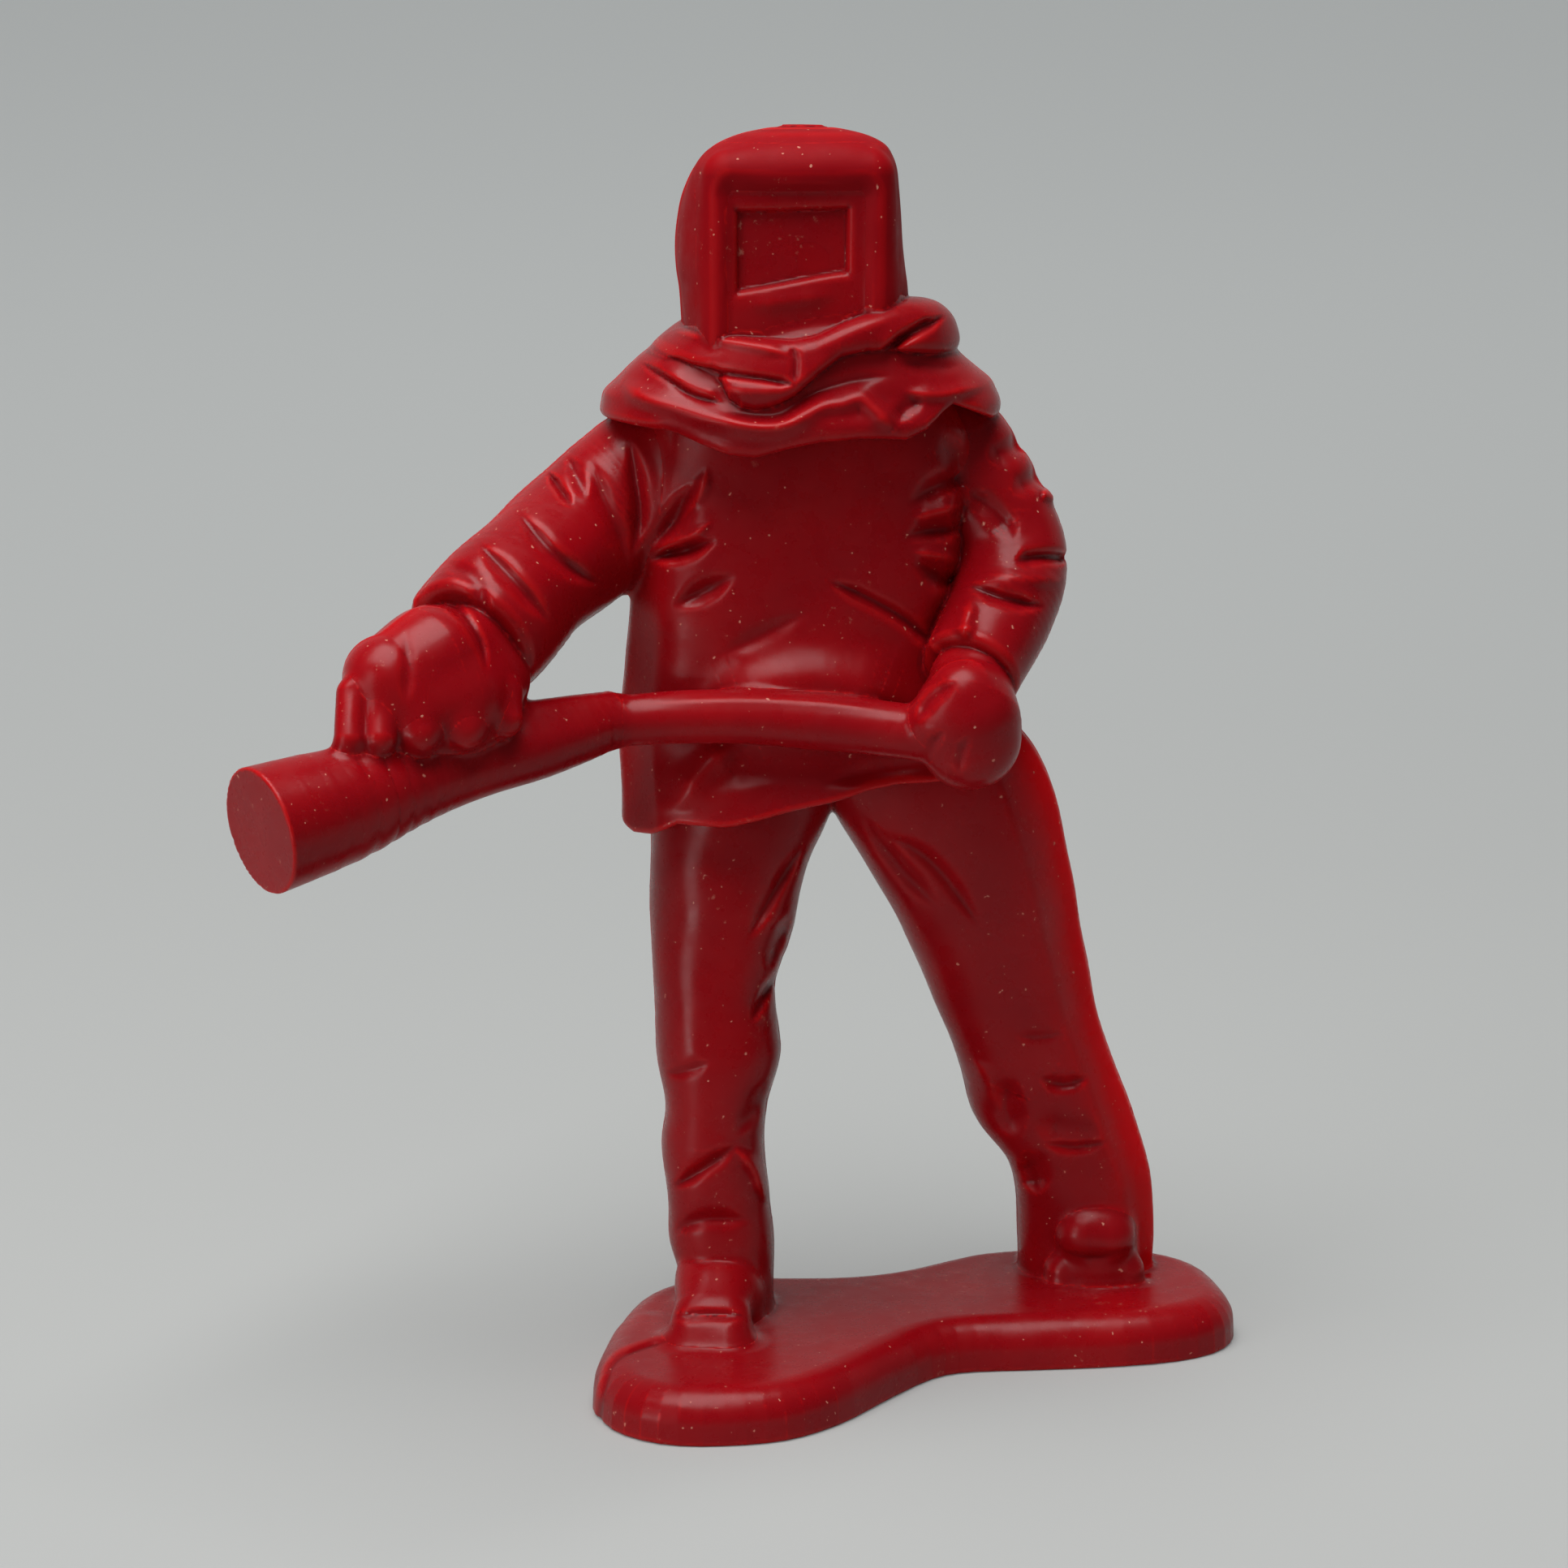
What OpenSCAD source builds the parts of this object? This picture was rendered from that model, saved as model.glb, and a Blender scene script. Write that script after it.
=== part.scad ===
// Moulded toy figure of a hooded firefighter with a hose, standing on a two-lobed base.
// Millimetres, +Z up, the figure faces -Y, and the origin is the middle of the base's underside.
// "Right" and "left" are the figure's own sides, so its right arm is on the -X side.

/* [Base plate] */
// Length of the base, across the figure
base_l = 32.2; // [28:0.1:38]
// Width of the base, front to back
base_w = 23; // [20:0.1:27]
// Thickness of the base
base_t = 2.5; // [2:0.1:4]
// Radius of the base's top edge
base_edge_r = 1.5; // [0.4:0.1:1.8]
// How far the underside stands in from the wall, all round
base_foot_inset = 0.3; // [0.1:0.05:0.6]

/* [Stance] */
// Right ankle, from the middle of the base
right_foot_at = [-9.9, 1.1]; // [-14:0.1:8]
// Left ankle, from the middle of the base
left_foot_at = [8.8, 7.8]; // [-8:0.1:12]
// Right knee, sideways and forwards of the straight line from hip to ankle
right_knee_bow = [-0.35, -0.8]; // [-2:0.1:2]
// Left knee, sideways and forwards of the straight line from hip to ankle
left_knee_bow = [0.9, 0.3]; // [-2:0.1:2]
// Middle of the hips, from the middle of the base
hips_at = [-5.5, 3]; // [-8:0.1:6]
// Height from the base to the middle of the jacket's hem
leg_h = 25.4; // [22:0.1:30]
// Spread of the right hip from the middle of the hips
right_hip_out = 4; // [3.8:0.1:5]
// Spread of the left hip from the middle of the hips
left_hip_out = 6; // [5.6:0.1:6.6]

/* [Trousers] */
// Width of the right thigh at the hem
right_thigh_w = 8.4; // [7.4:0.1:9]
// Width of the right knee
right_knee_w = 5.7; // [4.8:0.1:7]
// Width of the right trouser end
right_ankle_w = 4.8; // [4:0.1:6]
// Width of the left thigh at the hem
left_thigh_w = 10.4; // [9:0.1:10.8]
// Width of the left knee
left_knee_w = 7.3; // [6:0.1:8]
// Width of the left trouser end
left_ankle_w = 6.1; // [5:0.1:7]
// Depth of the thighs, front to back
thigh_d = 8.6; // [7:0.1:10]
// Depth of the knees
knee_d = 6.6; // [5:0.1:8]
// Depth of the trouser ends
ankle_d = 5.8; // [4.6:0.1:7]

/* [Boots] */
// Reach of the right boot's toe in front of the ankle
right_toe_reach = 6.9; // [5:0.1:8]
// Reach of the left boot's toe in front of the ankle
left_toe_reach = 4.4; // [3.8:0.1:5.4]
// Width of the right boot
right_boot_w = 3.9; // [3:0.1:5]
// Width of the left boot
left_boot_w = 4.9; // [4:0.1:6]
// Height of the boots at the instep
boot_h = 3.4; // [2.6:0.1:4.4]
// Turn of the right boot's toe towards the figure's left
right_toe_turn = -6; // [-20:1:20]
// Turn of the left boot's toe towards the figure's left
left_toe_turn = 10; // [-20:1:20]
// Height of the toe caps
toe_h = 2; // [1.4:0.1:2.4]

/* [Jacket] */
// Height of the jacket, from the middle of the hem to its top under the cape
jacket_h = 19.2; // [16:0.1:23]
// Width at the hem
hem_w = 19; // [17.6:0.1:20.4]
// Depth at the hem
hem_d = 10.8; // [9.6:0.1:12]
// Width at the waist
waist_w = 17; // [14:0.1:18]
// Depth at the waist
waist_d = 10; // [8.6:0.1:11]
// Width at the chest
chest_w = 16.6; // [14:0.1:18]
// Depth at the chest
chest_d = 9.4; // [8:0.1:11]
// Tilt of the hem, up towards the figure's left
hem_tilt = 8; // [0:0.5:12]
// Lean of the jacket's top from the hips, sideways and forwards
lean = [-0.4, -1.2]; // [-3:0.1:3]

/* [Arms] */
// Depth of the right shoulder below the jacket's top
right_shoulder_drop = 3.2; // [2:0.1:4.5]
// Depth of the left shoulder below the jacket's top
left_shoulder_drop = 1.8; // [1:0.1:3]
// Width of the right sleeve at the shoulder
right_shoulder_w = 7.6; // [6.6:0.1:8.6]
// Width of the right sleeve along the forearm
right_sleeve_w = 7.2; // [5.8:0.1:8]
// Width of the right sleeve's end
right_cuff_w = 6.6; // [5.6:0.1:7.4]
// Right wrist from the right shoulder
right_wrist_from = [-8.3, -8.4, -7.2]; // [-12:0.1:12]
// Right elbow off the straight line from shoulder to wrist
right_elbow_bow = [-0.5, 1.8, -0.3]; // [-3:0.1:3]
// Width of the left sleeve at the shoulder
left_shoulder_w = 5.2; // [4.6:0.1:6.4]
// Width of the left sleeve at the elbow
left_elbow_w = 5.5; // [4.6:0.1:6.4]
// Width of the left sleeve's end
left_cuff_w = 4.8; // [4.6:0.1:6]
// Left elbow from the left shoulder
left_elbow_from = [2.1, -0.8, -7]; // [-8:0.1:8]
// Left wrist from the left elbow
left_wrist_from = [-1.8, -4.8, -4]; // [-8:0.1:8]

/* [Gloves] */
// Width of both gloves at the wrist
glove_wrist_w = 4.2; // [3.4:0.1:5]
// Width of both gloves across the knuckles
glove_w = 5; // [4.2:0.1:6]
// Middle of the left glove from the left wrist
left_grip_from = [-0.2, -1.7, -2.3]; // [-5:0.1:5]
// Thickness of the fingers
finger_d = 2.1; // [1.6:0.05:2.2]
// Fingers that lie over the nozzle
finger_n = 4; // [3:1:5]

/* [Hose and nozzle] */
// Diameter of the hose
hose_d = 2.5; // [2:0.1:3]
// Diameter of the nozzle's mouth
nozzle_mouth_d = 5.8; // [4.4:0.1:7]
// Nozzle's mouth from the place where the hose joins it
nozzle_mouth_from = [-14.8, -11.4, -3]; // [-20:0.1:20]
// Height of the hose over the middle of the hem
hose_over_hem = 4.8; // [4:0.1:6]

/* [Hood] */
// Width of the hood
hood_w = 10.5; // [9:0.1:12]
// Depth of the hood
hood_d = 10.8; // [9:0.1:12]
// Height of the hood over the jacket's top
hood_h = 12.9; // [11:0.1:15]
// Middle of the hood from the middle of the jacket's top
hood_from = [-0.6, -1]; // [-2:0.1:2]
// Turn of the hood towards the figure's left
hood_turn = 5; // [-20:1:25]
// Tilt of the crown, up towards the figure's left
crown_tilt = 5; // [0:0.5:12]
// Width of the raised rim round the face opening
rim_w = 1.1; // [0.7:0.05:1.5]
// Height of the rim over the hood's flat face
rim_t = 0.5; // [0.3:0.05:0.8]
// Depth of the pocket for the face panel in the hood's flat face
pocket_d = 0.9; // [0.8:0.05:1.4]
// Thickness of the face panel
panel_t = 0.7; // [0.6:0.05:0.8]
// Width of the window
window_w = 5.6; // [4:0.1:6.4]
// Height of the window
window_h = 3.3; // [2.4:0.1:4]
// Depth of the window behind the face panel
window_recess = 0.4; // [0.3:0.05:0.5]

/* [Cape] */
// Width of the cape at its hem
cape_w = 18.8; // [17.4:0.1:21]
// Depth of the cape at its hem
cape_d = 12.4; // [11.4:0.1:14]
// Width of the cape where the roll lies on it
cape_neck_w = 14; // [12.6:0.1:15.6]
// Height of the cape
cape_h = 4.2; // [3.4:0.1:5]
// Drop of the cape's hem below the jacket's top
cape_drop = 1.4; // [0.6:0.1:2.4]
// Dip of the cape's hem at the front
cape_dip_h = 1.1; // [0:0.1:2]
// Thickness of the roll of cloth round the neck
roll_d = 2.6; // [2:0.1:3.4]
// Width over the roll
roll_w = 13; // [12:0.1:14]
// Height of the roll's middle over the cape's top
roll_lift = 0.3; // [-0.5:0.1:1]
// Rise of the roll towards the figure's left
roll_tilt = 7; // [0:0.5:12]

/* [Facets] */
// Facets round a limb
limb_sides = 18; // [10:2:30]
// Facets round the jacket, the hood and the cape
torso_sides = 26; // [16:2:40]
// Rings between two stations of a form
ring_steps = 2; // [1:1:4]

/* [Hidden] */
red = "firebrick";

// Squareness of the sections: 2 is an ellipse and more is boxier
limb_square = 2.3;
boot_square = 2.8;
jacket_square = 3;
hood_square = 3.6;
cape_square = 2.2;

// Levels
z_floor = base_t;
z_hem = z_floor + leg_h;
z_top = z_hem + jacket_h;

// Landmarks of the legs
hem_mid = [hips_at.x, hips_at.y, z_hem];
hem_slope = tan(hem_tilt);
right_hip = hem_mid - [right_hip_out, 0, 0];
left_hip = hem_mid + [left_hip_out, 0, 0];
right_ankle = [right_foot_at.x, right_foot_at.y, z_floor];
left_ankle = [left_foot_at.x, left_foot_at.y, z_floor];
bend_share = 0.5;
right_knee = lerp(right_hip, right_ankle, bend_share) + [right_knee_bow.x, right_knee_bow.y, 0];
left_knee = lerp(left_hip, left_ankle, bend_share) + [left_knee_bow.x, left_knee_bow.y, 0];

// Landmarks of the arms, as shares of the chest's width and depth
right_shoulder_shares = [-0.42, 0.06];
left_shoulder_shares = [0.45, 0.1];
jacket_top = [hips_at.x + lean.x, hips_at.y + lean.y, z_top];
right_shoulder = jacket_top + [chest_w * right_shoulder_shares.x, chest_d * right_shoulder_shares.y,
    -right_shoulder_drop];
left_shoulder = jacket_top + [chest_w * left_shoulder_shares.x, chest_d * left_shoulder_shares.y,
    -left_shoulder_drop];
right_wrist = right_shoulder + right_wrist_from;
left_elbow = left_shoulder + left_elbow_from;
left_wrist = left_elbow + left_wrist_from;
left_grip = left_wrist + left_grip_from;

// Landmarks of the hose: it joins the nozzle in front of the hem's right end
hose_front_share = 0.45;
hose_start = hem_mid + [-hem_w / 2, -hem_d / 2 - hose_d * hose_front_share, hose_over_hem];
nozzle_mouth = hose_start + nozzle_mouth_from;

// Landmarks of the hood and the cape
cape_from_share = 0.7;
hood_mid = jacket_top + [hood_from.x, hood_from.y, 0];
cape_hem_mid = jacket_top + [hood_from.x * cape_from_share, 0, -cape_drop];

// Plain helpers
function lerp(a, b, t) = a + (b - a) * t;
function unit(v) = v / norm(v);
function powered(v, p) = sign(v) * pow(abs(v), p);
function middle(r) = [for (k = [0:2]) [for (p = r) p[k]] * [for (p = r) 1] / len(r)];

// A smooth curve through four stations, between the middle two
function curve(a, b, c, d, t) =
    b + (c - a) * t / 2 + (a * 2 - b * 5 + c * 4 - d) * t * t / 2 + (b * 3 - a - c * 3 + d) * t * t * t / 2;

// A smooth curve through a list of stations, u counted in stations
function through(list, u) =
    let (n = len(list), i = max(0, min(floor(u), n - 2)))
    curve(list[max(i - 1, 0)], list[i], list[i + 1], list[min(i + 2, n - 1)], u - i);

// The stations with more of them between each two
function filled(list) =
    [for (i = [0:(len(list) - 1) * ring_steps]) through(list, i / ring_steps)];

// One ring of a form: station [x, y, z, half width, half depth] in the plane of two unit vectors
function ring(s, across, over, sides, square) =
    [for (k = [0:sides - 1])
        let (a = 360 * k / sides)
        [s[0], s[1], s[2]] + across * s[3] * powered(cos(a), 2 / square)
            + over * s[4] * powered(sin(a), 2 / square)];

// Level rings, with a slope along X and a dip at the front as the sixth and seventh values
function level_rings(list, sides, square) =
    [for (s = filled(list))
        [for (p = ring(s, [1, 0, 0], [0, 1, 0], sides, square))
            let (front = max(0, (s[1] - p.y) / s[4]))
            p + [0, 0, (p.x - s[0]) * s[5] - s[6] * front * front]]];

// Rings square to the path of the stations; a lead is the station before the first, on the next form
function path_rings(list, sides, square, lead) =
    let (f = filled(list), n = len(f) - 1, first = is_undef(lead) ? f[0] : lead)
    [for (i = [0:n])
        let (a = i > 0 ? f[i - 1] : first, b = f[min(i + 1, n)])
        let (d = unit([b[0] - a[0], b[1] - a[1], b[2] - a[2]]))
        let (across = unit(cross([0, 1, 0], d)))
        ring(f[i], across, cross(d, across), sides, square)];

// Faces of the wall between ring i and ring j of n points each
function wall(i, j, n) =
    [for (k = [0:n - 1])
        let (a = i * n + k, b = i * n + (k + 1) % n, c = j * n + k, d = j * n + (k + 1) % n)
        each [[a, c, b], [b, c, d]]];

// A closed form through a list of rings
module loft(rings) {
    m = len(rings);
    n = len(rings[0]);
    points = concat([for (r = rings) each r], [middle(rings[0]), middle(rings[m - 1])]);
    walls = [for (i = [0:m - 2]) each wall(i, i + 1, n)];
    foot = [for (k = [0:n - 1]) [k, (k + 1) % n, m * n]];
    head = [for (k = [0:n - 1]) [(m - 1) * n + (k + 1) % n, (m - 1) * n + k, m * n + 1]];
    polyhedron(points = points, faces = concat(walls, foot, head));
}

// A closed hoop: the last ring joins the first
module hoop(rings) {
    m = len(rings);
    n = len(rings[0]);
    polyhedron(
        points = [for (r = rings) each r],
        faces = [for (i = [0:m - 1]) each wall(i, (i + 1) % m, n)]
    );
}

// Base: corners as shares of half its length and half its width
base_shares = [[-0.985, -0.56], [-0.93, -0.82], [-0.79, -0.98], [-0.6, -1], [-0.42, -0.94], [-0.27, -0.77],
    [-0.12, -0.49], [0.02, -0.235], [0.16, -0.145], [0.42, -0.11], [0.7, -0.05], [0.9, 0.09],
    [0.975, 0.28], [0.97, 0.5], [0.92, 0.76], [0.8, 0.93], [0.62, 1], [0.4, 0.995], [0.2, 0.935],
    [0.05, 0.8], [-0.1, 0.66], [-0.3, 0.59], [-0.55, 0.59], [-0.76, 0.53], [-0.88, 0.36], [-0.94, 0.1],
    [-0.97, -0.22]];
base_steps = 3;
base_edge_steps = 4;
base_draft_share = 0.1;

function base_outline() =
    let (n = len(base_shares))
    [for (i = [0:n * base_steps - 1])
        let (k = floor(i / base_steps), t = i / base_steps - k)
        let (s = curve(base_shares[(k + n - 1) % n], base_shares[k], base_shares[(k + 1) % n],
            base_shares[(k + 2) % n], t))
        [s.x * base_l / 2, s.y * base_w / 2]];

// The outline moved in by a distance, at a height
function base_ring(inset, z) =
    let (o = base_outline(), n = len(o))
    [for (i = [0:n - 1])
        let (d = unit(o[(i + 1) % n] - o[(i + n - 1) % n]))
        [o[i].x - d.y * inset, o[i].y + d.x * inset, z]];

module base_plate() {
    draft = base_t * base_draft_share;
    edge = [for (i = [0:base_edge_steps])
        let (a = 90 * i / base_edge_steps)
        base_ring(draft + base_edge_r * (1 - cos(a)), base_t - base_edge_r * (1 - sin(a)))];
    color(red) loft(concat([base_ring(base_foot_inset, 0), base_ring(0, base_foot_inset)], edge));
}

// Legs: the trouser's fullness at each station, from the base to the hem
right_leg_shares = [0.98, 1.05, 0.97, 0.92, 0.96, 1.03, 0.97, 1, 1, 1];
left_leg_shares = [1, 0.96, 0.98, 1.06, 1.02, 0.98, 0.98, 1, 1, 1];
hem_lap_share = 0.2;
right_leg = [right_ankle, right_knee, right_hip, [right_ankle_w, right_knee_w, right_thigh_w]];
left_leg = [left_ankle, left_knee, left_hip, [left_ankle_w, left_knee_w, left_thigh_w]];
leg_d = [ankle_d, knee_d, thigh_d];

// Middle and half sizes of a leg, u from 0 at the base to 1 at the hem
function leg_at(leg, u) =
    through([for (i = [0:2]) concat(leg[i], [leg[3][i] / 2, leg_d[i] / 2, 0, 0])], u * 2);

// The last station laps over the hem's plane, where the jacket cuts it off
function leg_stations(leg, shares) =
    let (n = len(shares) - 1)
    concat([for (i = [0:n])
        let (s = leg_at(leg, i / n))
        [s[0], s[1], s[2], s[3] * shares[i], s[4] * shares[i], 0, 0]],
        [leg_at(leg, 1) + [0, 0, thigh_d * hem_lap_share, 0, 0, 0, 0]]);

module leg_form(leg, shares) {
    loft(level_rings(leg_stations(leg, shares), limb_sides, limb_square));
}

// All that is above the hem's plane
module above_hem() {
    translate(hem_mid) rotate([0, -hem_tilt, 0])
        translate([-hem_w, -hem_w, 0]) cube([hem_w * 2, hem_w * 2, jacket_h]);
}

module right_trouser_leg() {
    color(red) difference() {
        leg_form(right_leg, right_leg_shares);
        above_hem();
    }
}

module left_trouser_leg() {
    color(red) difference() {
        leg_form(left_leg, left_leg_shares);
        above_hem();
    }
}

// Boots: share of the height, of the toe's reach and of the width, from the sole up
boot_shares = [[0, 1, 0.95], [0.28, 1, 1], [0.6, 0.94, 0.96], [0.78, 0.76, 0.86], [1, 0.5, 0.72]];

module boot_form(ankle, turn, reach, w) {
    stations = [for (s = boot_shares)
        let (z = s[0] < boot_shares[2][0] ? toe_h * s[0] / boot_shares[2][0]
            : lerp(toe_h, boot_h, (s[0] - boot_shares[2][0]) / (1 - boot_shares[2][0])))
        [0, -reach * s[1] / 2, z, w * s[2] / 2, reach * s[1] / 2, 0, 0]];
    translate(ankle) rotate([0, 0, turn]) loft(level_rings(stations, limb_sides, boot_square));
}

module right_boot() {
    color(red) difference() {
        boot_form(right_ankle, right_toe_turn, right_toe_reach, right_boot_w);
        leg_form(right_leg, right_leg_shares);
    }
}

module left_boot() {
    color(red) difference() {
        boot_form(left_ankle, left_toe_turn, left_toe_reach, left_boot_w);
        leg_form(left_leg, left_leg_shares);
    }
}

// Jacket: share of the height, of the hem's flare, of the fullness and of the hem's tilt
jacket_shares = [[0, 1, 1, 1], [0.13, 0.75, 1, 0.8], [0.28, 0.25, 1, 0.4], [0.5, 0, 1, 0],
    [0.7, 0, 1, 0], [0.88, 0, 0.97, 0], [1, 0, 0.84, 0]];

function jacket_stations() =
    [for (s = jacket_shares)
        let (p = lerp(hem_mid, jacket_top, s[0]))
        let (body_w = lerp(waist_w, chest_w, s[0]), body_d = lerp(waist_d, chest_d, s[0]))
        [p.x, p.y, p.z, lerp(body_w, hem_w, s[1]) * s[2] / 2, lerp(body_d, hem_d, s[1]) * s[2] / 2,
            hem_slope * s[3], 0]];

module jacket_form() {
    loft(level_rings(jacket_stations(), torso_sides, jacket_square));
}

module jacket() {
    color(red) jacket_form();
}

// Sleeves: share of the way, and fullness there
right_sleeve_shares = [[0, 1], [0.5, 1.02], [1, 0.96], [1.5, 1], [2, 1]];
left_sleeve_shares = [[0, 1], [0.5, 1], [1, 1], [1.5, 1.04], [2, 1]];

function sleeve_stations(joints, w, shares) =
    [for (s = shares)
        let (p = through([for (i = [0:2]) concat(joints[i], [w[i] / 2])], s[0]))
        [p[0], p[1], p[2], p[3] * s[1], p[3] * s[1]]];

module right_sleeve_form() {
    elbow = lerp(right_shoulder, right_wrist, bend_share) + right_elbow_bow;
    loft(path_rings(sleeve_stations([right_shoulder, elbow, right_wrist],
        [right_shoulder_w, right_sleeve_w, right_cuff_w], right_sleeve_shares), limb_sides, limb_square));
}

module left_sleeve_form() {
    loft(path_rings(sleeve_stations([left_shoulder, left_elbow, left_wrist],
        [left_shoulder_w, left_elbow_w, left_cuff_w], left_sleeve_shares), limb_sides, limb_square));
}

module right_sleeve() {
    color(red) difference() {
        right_sleeve_form();
        jacket_form();
    }
}

module left_sleeve() {
    color(red) difference() {
        left_sleeve_form();
        jacket_form();
    }
}

// Nozzle: share of the way from the hose to the mouth, and share of the flare there
nozzle_shares = [[0, 0], [0.18, 0.03], [0.34, 0.06], [0.5, 0.16], [0.64, 0.44], [0.8, 0.83], [1, 1]];

// Hose across the belly: share of the way, sag back and down, and fullness, as shares of its diameter
hose_shares = [[0, 0, 0, 0.94], [0.3, 0.1, 0.06, 1], [0.6, 0.06, -0.02, 1.05], [0.88, 0.05, -0.04, 1.02],
    [1, 0, 0, 1]];
hose_end = left_grip - [glove_w / 4, 0, 0];
throat_d = hose_d * hose_shares[0][3];

function nozzle_stations() =
    [for (s = nozzle_shares)
        let (p = lerp(hose_start, nozzle_mouth, s[0]), r = lerp(throat_d, nozzle_mouth_d, s[1]) / 2)
        [p.x, p.y, p.z, r, r]];

function hose_stations() =
    [for (s = hose_shares)
        let (p = lerp(hose_start, hose_end, s[0]))
        [p.x, p.y + hose_d * s[1], p.z + hose_d * s[2], hose_d * s[3] / 2, hose_d * s[3] / 2]];

// The two share the ring where they meet, so each leads the other
module nozzle_form() {
    loft(path_rings(nozzle_stations(), limb_sides, 2, filled(hose_stations())[1]));
}

module hose_form() {
    loft(path_rings(hose_stations(), limb_sides, 2, filled(nozzle_stations())[1]));
}

module nozzle() {
    color(red) nozzle_form();
}

// Right glove: a fist from the wrist to its two ends and its knuckles, as shares of the glove's width:
// [along the nozzle, over its axis, diameter]
fist_shares = [[0.36, 0.5, 0.8], [0.67, 0.5, 0.8], [0.58, 0.84, 0.9]];
glove_facets = 22;

// A point over the nozzle's axis, s along it, before it (towards the viewer) and above it
function by_nozzle(s, before, over) =
    let (axis = unit([nozzle_mouth_from.x, nozzle_mouth_from.y, 0]))
    lerp(hose_start, nozzle_mouth, s) + [-axis.y * before, axis.x * before, over];

module right_glove_form() {
    hull() {
        translate(right_wrist) sphere(d = glove_wrist_w, $fn = glove_facets);
        for (s = fist_shares)
            translate(by_nozzle(s[0], 0, glove_w * s[1])) sphere(d = glove_w * s[2], $fn = glove_facets);
    }
}

module right_glove() {
    color(red) difference() {
        right_glove_form();
        right_sleeve_form();
        nozzle_form();
    }
}

// Fingers: first and last along the nozzle, and the knuckle and the tip before and over its axis
finger_span_shares = [0.35, 0.7];
knuckle_shares = [0.2, 0.62];
tip_shares = [0.34, 0.28];
finger_facets = 12;

module finger(k) {
    s = lerp(finger_span_shares[0], finger_span_shares[1], k / (finger_n - 1));
    hull() for (p = [knuckle_shares, tip_shares])
        translate(by_nozzle(s, glove_w * p[0], glove_w * p[1])) sphere(d = finger_d, $fn = finger_facets);
}

module right_glove_fingers() {
    color(red) difference() {
        for (k = [0:finger_n - 1]) finger(k);
        right_glove_form();
        nozzle_form();
    }
}

module hose() {
    color(red) difference() {
        hose_form();
        jacket_form();
    }
}

// Left glove: from the wrist to the grip and on past the hose, with fullness across and over
left_glove_shares = [[-0.2, 0, 1, 1], [0.2, 0.3, 1, 1], [0.7, 0.9, 1.02, 0.96], [1.2, 1, 1.06, 0.96],
    [1.6, 1, 0.98, 0.9], [1.9, 1, 0.66, 0.6]];

function left_glove_stations() =
    [for (s = left_glove_shares)
        let (p = lerp(left_wrist, left_grip, s[0]), w = lerp(glove_wrist_w, glove_w, s[1]) / 2)
        let (over = max(0, s[0] - 1) * (left_grip.y - left_wrist.y))
        [p.x, p.y - over, p.z, w * s[2], w * s[3]]];

module left_glove_form() {
    loft(path_rings(left_glove_stations(), limb_sides, limb_square));
}

module left_glove() {
    color(red) difference() {
        left_glove_form();
        left_sleeve_form();
        jacket_form();
        hose_form();
    }
}

// Hood: share of its height, of its width, of its depth and of the crown's tilt, from the jacket up
hood_shares = [[0, 0.94, 0.92, 0], [0.25, 1, 1, 0], [0.5, 1, 1, 0], [0.7, 0.97, 0.97, 0.3],
    [0.84, 0.91, 0.9, 0.8], [0.93, 0.76, 0.76, 1], [0.98, 0.56, 0.56, 1], [1, 0.34, 0.34, 1]];
face_share = 0.455;
rim_shares = [0.81, 0.29, 0.9];
rim_corner_share = 0.12;
window_z_share = 0.465;
window_corner_share = 0.1;
face_y = -hood_d * face_share;
rim_outer_w = hood_w * rim_shares[0];
rim_z = hood_h * rim_shares[1];
rim_h = hood_h * rim_shares[2] - rim_z;
rim_corner = hood_w * rim_corner_share;

// Moves its children into the hood's own place and turn
module at_hood() {
    translate(hood_mid) rotate([0, 0, hood_turn]) children();
}

module hood_form() {
    at_hood() loft(level_rings([for (s = hood_shares)
        [0, 0, hood_h * s[0], hood_w * s[1] / 2, hood_d * s[2] / 2, tan(crown_tilt) * s[3], 0]], torso_sides, hood_square));
}

// A slab with rounded corners on the flat of the face, from one depth to another
module face_slab(w, h, z, corner, near, far) {
    translate([0, far, z]) rotate([90, 0, 0]) linear_extrude(height = far - near)
        translate([0, h / 2]) offset(r = corner) square([w - corner * 2, h - corner * 2], center = true);
}

// The pocket that the face panel fills, from one depth to another
module pocket_slab(near, far) {
    face_slab(rim_outer_w - rim_w * 2, rim_h - rim_w, rim_z, rim_corner / 2, near, far);
}

// The slab that the window fills, from one depth to another
module window_slab(near, far) {
    face_slab(window_w, window_h, hood_h * window_z_share, window_h * window_corner_share, near, far);
}

pocket_y = face_y + pocket_d;

module hood() {
    color(red) difference() {
        hood_form();
        at_hood() translate([-hood_w, face_y - hood_d, -hood_h]) cube([hood_w * 2, hood_d, hood_h * 3]);
        at_hood() pocket_slab(face_y - rim_t, pocket_y);
    }
}

// The rim is open below, where the roll of cloth covers it
module visor_rim() {
    color(red) at_hood() difference() {
        face_slab(rim_outer_w, rim_h, rim_z, rim_corner, face_y - rim_t, face_y);
        pocket_slab(face_y - rim_t * 2, pocket_y);
        translate([-(rim_outer_w / 2 - rim_w), face_y - rim_t * 2, 0])
            cube([rim_outer_w - rim_w * 2, rim_t * 3, rim_z + rim_h / 2]);
    }
}

module visor_panel() {
    color(red) at_hood() difference() {
        pocket_slab(pocket_y - panel_t, pocket_y);
        window_slab(face_y - panel_t, pocket_y + panel_t);
    }
}

module visor_window() {
    color(red) at_hood() window_slab(pocket_y - panel_t + window_recess, pocket_y);
}

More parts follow.
